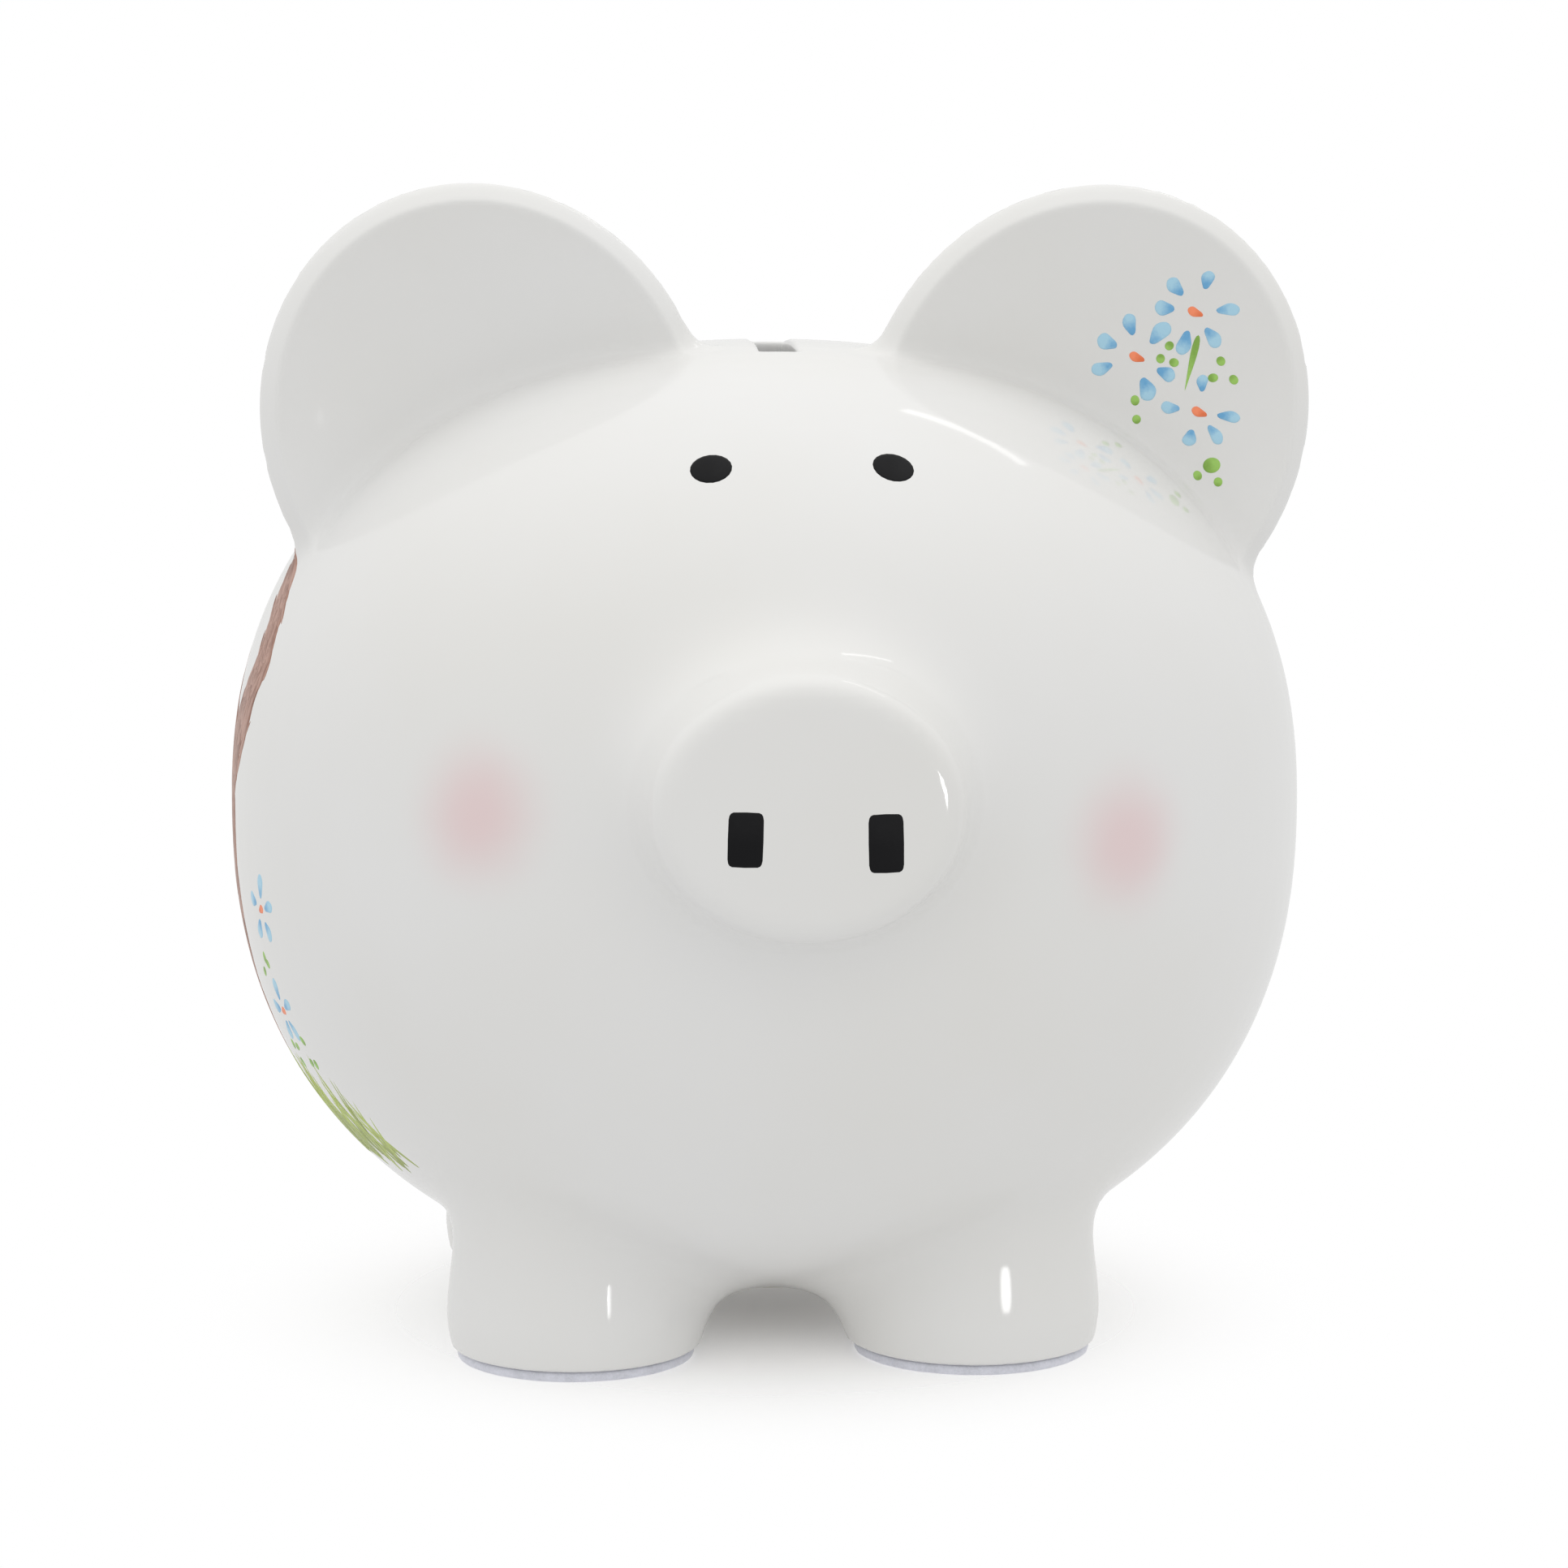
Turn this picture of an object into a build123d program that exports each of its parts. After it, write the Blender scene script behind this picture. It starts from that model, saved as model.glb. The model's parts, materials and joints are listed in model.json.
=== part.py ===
"""Glazed ceramic piggy bank: castings luted into one hollow pig, a rubber belly stopper and four felt feet.

Millimetres. +Z is up, the pig faces -Y, and +X is the pig's own left side.
The origin lies on the ground, under the middle of the whole piece.
"""

from build123d import *
import math
import os

# ---- body: a hollow body of revolution about Z, its half profile a superellipse above and below the girth
GIRTH_RADIUS = 96.8
CROWN_RISE = 83.8
BELLY_DROP = 86.4
ROUNDNESS = 2.28
PROFILE_SPANS = 8
WALL = 5.0

# ---- feet and what is glued under them
BELLY_CLEARANCE = 7.5
PAD_THICKNESS = 1.8
GLUE_THICKNESS = 0.2
PAD_OVERHANG = 0.4
GLUE_INSET = 0.4
LEG_FOOT_RADIUS = 22.8
LEG_TOP_RADIUS = 21.0
LEG_WALL = 4.5
FOOT_FLOOR = 6.0
FOOT_ROUNDING = 2.2
LEG_SPREAD = 35.2
FRONT_LEG_REACH = 37.0
REAR_LEG_REACH = 39.0

# ---- snout: a tapered oval cup
SNOUT_HALF_WIDTH = 24.4
SNOUT_HALF_HEIGHT = 20.5
SNOUT_FLARE = 4.0
SNOUT_LENGTH = 14.0
SNOUT_RISE = 11.6
SNOUT_WALL = 5.0
SNOUT_ROUNDING = 3.0

# ---- ears: thick oval saucers with a full round rim
EAR_HALF_WIDTH = 39.6
EAR_HALF_HEIGHT = 43.5
EAR_THICKNESS = 8.0
EAR_DISH = 6.5
EAR_SPREAD = 53.3
EAR_RISE = 69.3
EAR_ADVANCE = 15.0
EAR_LEAN = 26.5

# ---- tail: one curl of rolled clay
TAIL_RADIUS = 3.2
TAIL_CURL_RADIUS = 7.5
TAIL_PITCH = 7.5
TAIL_TURNS = 1.4
TAIL_CONE_ANGLE = -18.0
TAIL_RISE = 22.0
TAIL_ROOT_DEPTH = 3.0

# ---- coin slot, cut through the crown
SLOT_WIDTH = 6.6
SLOT_LENGTH = 41.0
SLOT_CORNER = 0.8

# ---- how far towards the pig's left the cast pieces and the slot came out, and the ears' extra turn that way
EARS_SHIFT = 3.0
EARS_TURN = 3.5
SLOT_SHIFT = 1.2
LEGS_SHIFT = -0.9

# ---- belly hole and its stopper
HOLE_RADIUS = 16.0
SEAT_LEDGE = 4.0
SEAT_DEPTH = 2.0
STOPPER_EDGE_GAP = 0.5
STOPPER_SEAT_GAP = 0.1
STOPPER_FLANGE = 2.4
PLUG_CLEARANCE = 0.8
RIB_CLEARANCE = 0.1
RIB_HEIGHT = 1.6
RIB_PITCH = 4.0
PLUG_LENGTH = 11.0
PLUG_TAPER = 1.6
PLUG_CEILING = 3.0
PLUG_WALL = 3.7
GRIP_BAR_WIDTH = 4.4
GRIP_BAR_HEIGHT = 3.4

# ---- heights that follow from the sizes above
SOLE_Z = PAD_THICKNESS + GLUE_THICKNESS
GIRTH_Z = BELLY_CLEARANCE + BELLY_DROP
BELLY_Z = GIRTH_Z - BELLY_DROP
CROWN_Z = GIRTH_Z + CROWN_RISE
SEAT_Z = BELLY_Z + SEAT_DEPTH
SEAT_RADIUS = HOLE_RADIUS + SEAT_LEDGE
SNOUT_Z = GIRTH_Z + SNOUT_RISE
SNOUT_TIP_Y = -GIRTH_RADIUS - SNOUT_LENGTH
FRONT_BACK = (("front", -FRONT_LEG_REACH), ("rear", REAR_LEG_REACH))
LEFT_RIGHT = (("left", 1), ("right", -1))


def superellipse(radius, rise, turn):
    """Point at a turn from the pole towards the girth, as (distance from the axis, height over the girth)."""
    power = 2.0 / ROUNDNESS
    return radius * math.sin(turn) ** power, rise * math.cos(turn) ** power


def barrel(inset):
    """Solid of revolution inside the body's outer surface by inset."""
    radius = GIRTH_RADIUS - inset
    turns = [math.pi / 2 * step / PROFILE_SPANS for step in range(1, PROFILE_SPANS)]
    upper = [superellipse(radius, CROWN_RISE - inset, turn) for turn in turns]
    lower = [superellipse(radius, BELLY_DROP - inset, turn) for turn in turns]
    crown = (0, CROWN_Z - inset)
    girth = (radius, GIRTH_Z)
    belly = (0, BELLY_Z + inset)
    with BuildPart() as made:
        with BuildSketch(Plane.XZ):
            with BuildLine():
                crown_points = [crown, *[(r, GIRTH_Z + h) for r, h in upper], girth]
                Spline(crown_points, tangents=[(1, 0), (0, -1)])
                belly_points = [girth, *[(r, GIRTH_Z - h) for r, h in reversed(lower)], belly]
                Spline(belly_points, tangents=[(0, -1), (-1, 0)])
                Line(belly, crown)
            make_face()
        revolve(axis=Axis.Z)
    return made.part


def upright_cylinder(x, y, radius, low, high):
    """Cylinder about a vertical axis, between two heights."""
    shape = Cylinder(radius, high - low, align=(Align.CENTER, Align.CENTER, Align.MIN))
    return Pos(x, y, low) * shape


def leg_places():
    """Name and axis of each leg."""
    return [
        (f"{end}_{side}", sign * LEG_SPREAD + LEGS_SHIFT, y)
        for end, y in FRONT_BACK
        for side, sign in LEFT_RIGHT
    ]


def leg_hollow(x, y):
    """Space inside one leg, open into the body."""
    return upright_cylinder(x, y, LEG_TOP_RADIUS - LEG_WALL, SOLE_Z + FOOT_FLOOR, GIRTH_Z)


def leg(x, y, outer):
    """Stub leg: a slightly flared tube with a closed, rounded foot, trimmed to the body's outer surface."""
    height = GIRTH_Z - SOLE_Z
    cone = Cone(LEG_FOOT_RADIUS, LEG_TOP_RADIUS, height, align=(Align.CENTER, Align.CENTER, Align.MIN))
    sole_edge = cone.edges().sort_by(Axis.Z)[0]
    return Pos(x, y, SOLE_Z) * fillet(sole_edge, FOOT_ROUNDING) - outer - leg_hollow(x, y)


def snout_cone(inset, tip_inset, depth):
    """Tapered oval solid from the snout's face back into the body by depth."""
    grow = SNOUT_FLARE / SNOUT_LENGTH
    tip_y = SNOUT_TIP_Y + tip_inset
    root_y = -GIRTH_RADIUS + depth
    half_width, half_height = SNOUT_HALF_WIDTH - inset, SNOUT_HALF_HEIGHT - inset
    sections = Sketch() + [
        Plane((0, y, SNOUT_Z), x_dir=(1, 0, 0), z_dir=(0, 1, 0))
        * Ellipse(half_width + grow * (y - SNOUT_TIP_Y), half_height + grow * (y - SNOUT_TIP_Y))
        for y in (tip_y, root_y)
    ]
    return loft(sections)


def snout(outer):
    """Oval cup with a rounded face, trimmed to the body's outer surface."""
    solid = snout_cone(0, 0, GIRTH_RADIUS / 3)
    face_edge = solid.edges().sort_by(Axis.Y)[0]
    return fillet(face_edge, SNOUT_ROUNDING) - outer - snout_hollow()


def snout_hollow():
    """Space inside the snout, open into the body."""
    return snout_cone(SNOUT_WALL, SNOUT_WALL, GIRTH_RADIUS / 4)


def ear_saucer():
    """Dished round plate with a full round rim, lying about Z with its hollow side up."""
    half = EAR_THICKNESS / 2
    rim = EAR_HALF_WIDTH - half
    bend_radius = (rim**2 + EAR_DISH**2) / (2 * EAR_DISH)
    half_angle = math.asin(rim / bend_radius)

    def on_arc(radius, angle):
        return radius * math.sin(angle), bend_radius - EAR_DISH - radius * math.cos(angle)

    with BuildPart() as made:
        with BuildSketch(Plane.XZ):
            with BuildLine():
                inner, outer = bend_radius - half, bend_radius + half
                ThreePointArc(on_arc(inner, 0), on_arc(inner, half_angle / 2), on_arc(inner, half_angle))
                beyond = half_angle + half / bend_radius
                ThreePointArc(
                    on_arc(inner, half_angle), on_arc(bend_radius, beyond), on_arc(outer, half_angle)
                )
                ThreePointArc(on_arc(outer, half_angle), on_arc(outer, half_angle / 2), on_arc(outer, 0))
                Line(on_arc(outer, 0), on_arc(inner, 0))
            make_face()
        revolve(axis=Axis.Z)
    return made.part


def ear(sign, outer):
    """Ear on one side: the saucer made oval, turned to face forwards, leaned outwards and trimmed to the body."""
    oval = scale(ear_saucer(), by=(1, EAR_HALF_HEIGHT / EAR_HALF_WIDTH, 1))
    facing = Rot(90, 0, 0) * oval
    centre = Pos(sign * EAR_SPREAD + EARS_SHIFT, -EAR_ADVANCE, GIRTH_Z + EAR_RISE)
    return centre * Rot(0, sign * EAR_LEAN + EARS_TURN, 0) * facing - outer


def tail(outer):
    """Curl of rolled clay on the rump, trimmed to the body's outer surface."""
    z = GIRTH_Z + TAIL_RISE
    rump_radius = GIRTH_RADIUS * (1 - (TAIL_RISE / CROWN_RISE) ** ROUNDNESS) ** (1 / ROUNDNESS)
    start = Plane((0, rump_radius - TAIL_ROOT_DEPTH, z), x_dir=(0, 0, -1), z_dir=(0, 1, 0))
    curl = start * Helix(
        TAIL_PITCH, TAIL_PITCH * TAIL_TURNS, TAIL_CURL_RADIUS, cone_angle=TAIL_CONE_ANGLE
    )
    section = Plane(curl @ 0, z_dir=curl % 0) * Circle(TAIL_RADIUS)
    rolled = sweep(section, path=curl) + Pos(*(curl @ 1)) * Sphere(TAIL_RADIUS)
    return rolled - outer


def coin_slot():
    """Cutter for the slot through the crown."""
    height = 4 * WALL
    block = Box(SLOT_WIDTH, SLOT_LENGTH, height)
    return Pos(SLOT_SHIFT, 0, CROWN_Z) * fillet(block.edges().filter_by(Axis.Z), SLOT_CORNER)


def belly_opening():
    """Cutter for the belly hole and the shallow seat round it."""
    hole = upright_cylinder(0, 0, HOLE_RADIUS, 0, BELLY_Z + 4 * WALL)
    return hole + upright_cylinder(0, 0, SEAT_RADIUS, 0, SEAT_Z)


def body_shell(outer):
    """Hollow body with its slot, belly hole and the openings into the snout and legs."""
    shell = outer - barrel(WALL) - coin_slot() - belly_opening() - snout_hollow()
    for _, x, y in leg_places():
        shell -= leg_hollow(x, y)
    return shell


def stopper():
    """Moulded rubber stopper: flange, ribbed plug with a tapered nose, and a bar to pull across the hollow grip."""
    flange_top = SEAT_Z - STOPPER_SEAT_GAP
    flange_low = flange_top - STOPPER_FLANGE
    plug_top = flange_top + PLUG_LENGTH
    plug_radius = HOLE_RADIUS - PLUG_CLEARANCE
    flange = upright_cylinder(0, 0, SEAT_RADIUS - STOPPER_EDGE_GAP, flange_low, flange_top)
    flange = fillet(flange.edges().filter_by(GeomType.CIRCLE).sort_by(Axis.Z)[0], STOPPER_FLANGE / 3)
    body = flange + upright_cylinder(0, 0, plug_radius, flange_top, plug_top)
    body = chamfer(body.edges().filter_by(GeomType.CIRCLE).sort_by(Axis.Z)[-1], PLUG_TAPER)
    for row in (1, 2):
        low = flange_top + row * RIB_PITCH - RIB_HEIGHT / 2
        body += upright_cylinder(0, 0, HOLE_RADIUS - RIB_CLEARANCE, low, low + RIB_HEIGHT)
    grip_radius = plug_radius - PLUG_WALL
    grip = upright_cylinder(0, 0, grip_radius, flange_low, plug_top - PLUG_CEILING)
    bar = Box(GRIP_BAR_WIDTH, 2 * grip_radius + 1, GRIP_BAR_HEIGHT)
    bar = Pos(0, 0, flange_low + GRIP_BAR_HEIGHT / 2) * fillet(bar.edges().filter_by(Axis.Y), 0.9)
    return body - grip + bar


def under_foot(x, y, inset, low, high):
    """Disc glued under one foot."""
    radius = LEG_FOOT_RADIUS - FOOT_ROUNDING + PAD_OVERHANG - inset
    return upright_cylinder(x, y, radius, low, high)


def pieces():
    """Every piece by name, with the body's axis at the origin."""
    outer = barrel(0)
    made = {"body_shell": body_shell(outer), "snout": snout(outer), "tail": tail(outer), "stopper": stopper()}
    for side, sign in LEFT_RIGHT:
        made[f"ear_{side}"] = ear(sign, outer)
    for place, x, y in leg_places():
        made[f"leg_{place}"] = leg(x, y, outer)
        made[f"felt_pad_{place}"] = under_foot(x, y, 0, 0, PAD_THICKNESS)
        made[f"pad_adhesive_{place}"] = under_foot(x, y, GLUE_INSET, PAD_THICKNESS, SOLE_Z)
    return made


def main():
    """Centres the pieces between the snout's face and the tail's end, and writes one STEP file each."""
    os.makedirs("parts", exist_ok=True)
    made = pieces()
    tail_end = made["tail"].bounding_box().max.Y
    middle = (SNOUT_TIP_Y + tail_end) / 2
    for node, shape in made.items():
        export_step(Pos(0, -middle, 0) * shape, os.path.join("parts", f"{node}.step"))


main()
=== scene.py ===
import json
import math

import bmesh
import bpy
import numpy as np
from bpy.props import FloatProperty, FloatVectorProperty, PointerProperty, StringProperty
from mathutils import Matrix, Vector


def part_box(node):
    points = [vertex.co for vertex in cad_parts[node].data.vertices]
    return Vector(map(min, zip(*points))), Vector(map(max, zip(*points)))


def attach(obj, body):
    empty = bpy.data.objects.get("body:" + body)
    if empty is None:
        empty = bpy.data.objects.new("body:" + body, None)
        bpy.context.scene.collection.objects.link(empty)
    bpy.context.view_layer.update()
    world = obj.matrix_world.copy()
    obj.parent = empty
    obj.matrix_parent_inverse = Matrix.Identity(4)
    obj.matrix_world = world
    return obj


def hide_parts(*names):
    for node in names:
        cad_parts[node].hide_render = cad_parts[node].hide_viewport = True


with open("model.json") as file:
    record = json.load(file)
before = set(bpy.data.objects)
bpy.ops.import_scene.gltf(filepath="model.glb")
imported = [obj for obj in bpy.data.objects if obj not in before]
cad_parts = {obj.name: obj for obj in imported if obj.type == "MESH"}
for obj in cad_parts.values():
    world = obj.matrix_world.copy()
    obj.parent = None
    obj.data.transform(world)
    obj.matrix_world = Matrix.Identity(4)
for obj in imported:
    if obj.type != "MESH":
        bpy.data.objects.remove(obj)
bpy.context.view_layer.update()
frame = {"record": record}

bl_info = {
    "name": "Glazed piggy bank",
    "version": (1, 0, 0),
    "blender": (4, 5, 0),
    "location": "View3D > Sidebar > Piggy bank",
    "description": "Glazed castings, painted marks, rubber stopper and felt feet of a piggy bank",
    "category": "Object",
}

MM = 0.001
INWARDS = (0.0, 1.0, 0.0)
SIDES = (("left", 1), ("right", -1))
ENDS = ("front", "rear")
FEET = [f"{end}_{side}" for end in ENDS for side, _ in SIDES]
OPENINGS = {o["name"]: o["box_m"] for o in frame["record"]["physics"]["openings"]}


def node_box(node):
    """Lowest and highest corner of a CAD node, as arrays."""
    low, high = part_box(node)
    return np.array(low), np.array(high)


def mm(name, default, description, low=0.0):
    """A length property, shown in the scene's length unit."""
    return FloatProperty(
        name=name, description=description, default=default * MM, min=low * MM, unit="LENGTH", precision=5
    )


def angle(name, degrees, description):
    """An angle property."""
    return FloatProperty(name=name, description=description, default=math.radians(degrees), subtype="ANGLE")


def tint(name, default, description):
    """A colour property."""
    return FloatVectorProperty(
        name=name, description=description, default=default, size=3, min=0.0, max=1.0, subtype="COLOR"
    )


# ---------------------------------------------------------------- settings


class CastingSettings(bpy.types.PropertyGroup):
    """Sizes of the glazed castings that the CAD boxes do not give."""

    roundness: FloatProperty(name="Body roundness", description="Power of the body's profile", default=2.28)
    wall: mm("Wall", 5.0, "Thickness of the cast wall")
    inner_fillet: mm("Inner leg fillet", 21.0, "Width of the slip fillet between the legs")
    outer_fillet: mm("Outer leg fillet", 8.0, "Width of the slip fillet on the outer side of a leg")
    ear_fillet: mm("Ear fillet", 6.0, "Width of the slip fillet where an ear meets the head")
    snout_fillet: mm("Snout fillet", 12.0, "Width of the soft hollow round the snout's root")
    tail_fillet: mm("Tail fillet", 4.0, "Width of the slip fillet at the tail's root")
    lip: mm("Lip rounding", 1.5, "Width of the glaze-softened edge of the slot and the belly hole")
    mesh_step: mm("Mesh step", 2.0, "Spacing of the skin's quads before lips and rims are refined")


class GlazeSettings(bpy.types.PropertyGroup):
    """Colours and finish of the glaze."""

    white: tint("Glaze", (0.80, 0.80, 0.797), "Warm white of the glazed clay")
    cream: tint("Pooled glaze", (0.775, 0.77, 0.75), "Slightly creamier white where the glaze is thick")
    blush: tint("Blush", (0.78, 0.46, 0.48), "Airbrushed pink of the cheeks")
    roughness: FloatProperty(name="Gloss roughness", description="Roughness of the glaze", default=0.07)


class PaintSettings(bpy.types.PropertyGroup):
    """Colours and thickness of the brush marks."""

    lift: mm("Paint lift", 0.05, "How far a brush mark stands over the glaze")
    black: tint("Black", (0.010, 0.010, 0.011), "Eyes and nostrils")
    petal_pale: tint("Petal, pale end", (0.42, 0.68, 0.84), "Watered blue")
    petal_deep: tint("Petal, deep end", (0.16, 0.42, 0.70), "Blue where the brush was lifted")
    centre: tint("Flower centre", (0.83, 0.20, 0.08), "Orange")
    leaf: tint("Leaf", (0.24, 0.43, 0.08), "Green dots and stems")
    bark: tint("Bark", (0.26, 0.115, 0.075), "Brown of the bough")
    bark_pale: tint("Bark, pale", (0.47, 0.27, 0.21), "Brown where the brush runs dry")
    grass: tint("Grass", (0.50, 0.60, 0.16), "Yellow green blades")


class StopperSettings(bpy.types.PropertyGroup):
    """Shape and colour of the belly stopper."""

    rubber: tint("Rubber", (0.62, 0.60, 0.55), "Soft off-white rubber")
    edge: mm("Edge rounding", 0.7, "Rounding of the moulded edges")
    mesh_step: mm("Mesh step", 0.7, "Spacing of the stopper's quads")


class FeltSettings(bpy.types.PropertyGroup):
    """The self-adhesive pads under the feet."""

    felt: tint("Felt", (0.74, 0.75, 0.83), "Lavender grey felt")
    glue: tint("Adhesive", (0.76, 0.76, 0.78), "Tacky film")


class StageSettings(bpy.types.PropertyGroup):
    """Floor, lights and camera."""

    floor: tint("Floor", (0.88, 0.865, 0.845), "Plain pale floor")
    overhead: tint("Light overhead", (1.0, 0.995, 0.98), "Light from straight above")
    around: tint("Light around", (0.75, 0.75, 0.745), "Light from the sides")
    below: tint("Light below", (0.73, 0.73, 0.73), "Light from straight below")
    tent: FloatProperty(name="Tent strength", description="Strength of the surrounding light", default=1.08)
    distance: mm("Camera distance", 900.0, "From the camera to the middle of the view")
    azimuth: angle("Azimuth", -4.0, "Camera turn round the bank")
    elevation: angle("Elevation", 7.5, "Camera height over the horizon")
    lens: FloatProperty(name="Lens", description="Focal length", default=113.0, unit="CAMERA")


class BankSettings(bpy.types.PropertyGroup):
    """Everything a user would change."""

    casting: PointerProperty(type=CastingSettings)
    glaze: PointerProperty(type=GlazeSettings)
    paint: PointerProperty(type=PaintSettings)
    stopper: PointerProperty(type=StopperSettings)
    felt: PointerProperty(type=FeltSettings)
    stage: PointerProperty(type=StageSettings)


# ---------------------------------------------------------------- solid shapes as distance fields


def join(a, b, width):
    """Union of two distances with a soft fillet."""
    h = np.maximum(width - np.abs(a - b), 0) / width
    return np.minimum(a, b) - h * h * h * width / 6


def cut(a, b, width):
    """Distance a with b taken out, its edge softened."""
    return -join(-a, b, width)


def superellipsoid(p, centre, radius, rise, drop, power):
    """Distance to a body of revolution with a superellipse profile."""
    r = np.hypot(p[:, 0] - centre[0], p[:, 1] - centre[1])
    h = p[:, 2] - centre[2]
    tall = np.where(h > 0, rise, drop)
    a, b = r / radius, np.abs(h) / tall
    s = np.maximum(a**power + b**power, 1e-9)
    g = s ** (1 / power)
    scale = g / s
    slope = np.hypot(scale * a ** (power - 1) / radius, scale * b ** (power - 1) / tall)
    return (g - 1) / np.maximum(slope, 1e-6)


def upright_rod(p, x, y, radius, low, high, rounding=0.0):
    """Distance to an upright round bar with rounded rims."""
    r = np.hypot(p[:, 0] - x, p[:, 1] - y) - (radius - rounding)
    h = np.abs(p[:, 2] - (low + high) / 2) - ((high - low) / 2 - rounding)
    outside = np.hypot(np.maximum(r, 0), np.maximum(h, 0))
    return outside + np.minimum(np.maximum(r, h), 0) - rounding


def block(p, centre, half, rounding):
    """Distance to a box with rounded edges."""
    q = np.abs(p - centre) - (np.asarray(half) - rounding)
    return np.linalg.norm(np.maximum(q, 0), axis=1) + np.minimum(q.max(axis=1), 0) - rounding


def both(a, b, width):
    """Intersection of two distances with a rounded edge."""
    return -join(-a, -b, width)


class Ear:
    """One ear: a dished oval plate with a bevelled band round its rim, facing forwards and leaning outwards."""

    HALF_WIDTH, HALF_HEIGHT, THICKNESS, DISH = 39.6 * MM, 43.5 * MM, 8.0 * MM, 6.5 * MM
    FULLER = 1.0 * MM  # makes up for what the rounding of the rim takes off
    BAND, RIDGE = 4.4 * MM, 36.6 * MM  # width of the bevelled band, and how far out it meets the dish
    BOWL, BOWL_DEPTH = 98.0 * MM, 3.5 * MM
    RIM_ROUNDING, BACK_ROUNDING, RIDGE_ROUNDING = 3.0 * MM, 6.5 * MM, 1.0 * MM
    LEAN, TURN = math.radians(26.5), math.radians(3.5)

    def __init__(self, side, sign):
        low, high = node_box(f"ear_{side}")
        lean = sign * self.LEAN + self.TURN
        self.across = np.array([math.cos(lean), 0, -math.sin(lean)])
        self.along = np.array([math.sin(lean), 0, math.cos(lean)])
        reach_x = math.hypot(self.HALF_WIDTH * math.cos(lean), self.HALF_HEIGHT * math.sin(lean))
        reach_z = math.hypot(self.HALF_WIDTH * math.sin(lean), self.HALF_HEIGHT * math.cos(lean))
        x = high[0] - reach_x if sign > 0 else low[0] + reach_x
        self.centre = np.array([x, low[1] + self.THICKNESS / 2, high[2] - reach_z])
        rim = self.HALF_WIDTH - self.THICKNESS / 2
        self.bend = (rim**2 + self.DISH**2) / (2 * self.DISH)

    def distance(self, p):
        q = p - self.centre
        u = q @ self.across
        v = q @ self.along * (self.HALF_WIDTH / self.HALF_HEIGHT)
        r, half = np.hypot(u, v), self.THICKNESS / 2
        outer = r - self.HALF_WIDTH - self.FULLER
        bevel = (outer + self.BAND - q[:, 1] - half) * math.sqrt(0.5)
        back = np.hypot(r, self.bend - self.DISH + q[:, 1]) - (self.bend + half)
        bowl = self.BOWL - np.hypot(r, q[:, 1] + self.BOWL - self.BOWL_DEPTH)
        plate = both(both(outer, bevel, self.RIM_ROUNDING), back, self.BACK_ROUNDING)
        return both(plate, bowl, self.RIDGE_ROUNDING)

    def near_ridge(self, p):
        """Whether points lie where the dish meets the band."""
        q = p - self.centre
        r = np.hypot(q @ self.across, q @ self.along * (self.HALF_WIDTH / self.HALF_HEIGHT))
        return (np.abs(r - self.RIDGE) < 1.4 * MM) & (q[:, 1] < -2.0 * MM)

    def point(self, right, up):
        """Place in front of the dish, at distances to the viewer's right and up from the ear's middle."""
        return self.centre + np.array([right, -0.02, up])


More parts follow.
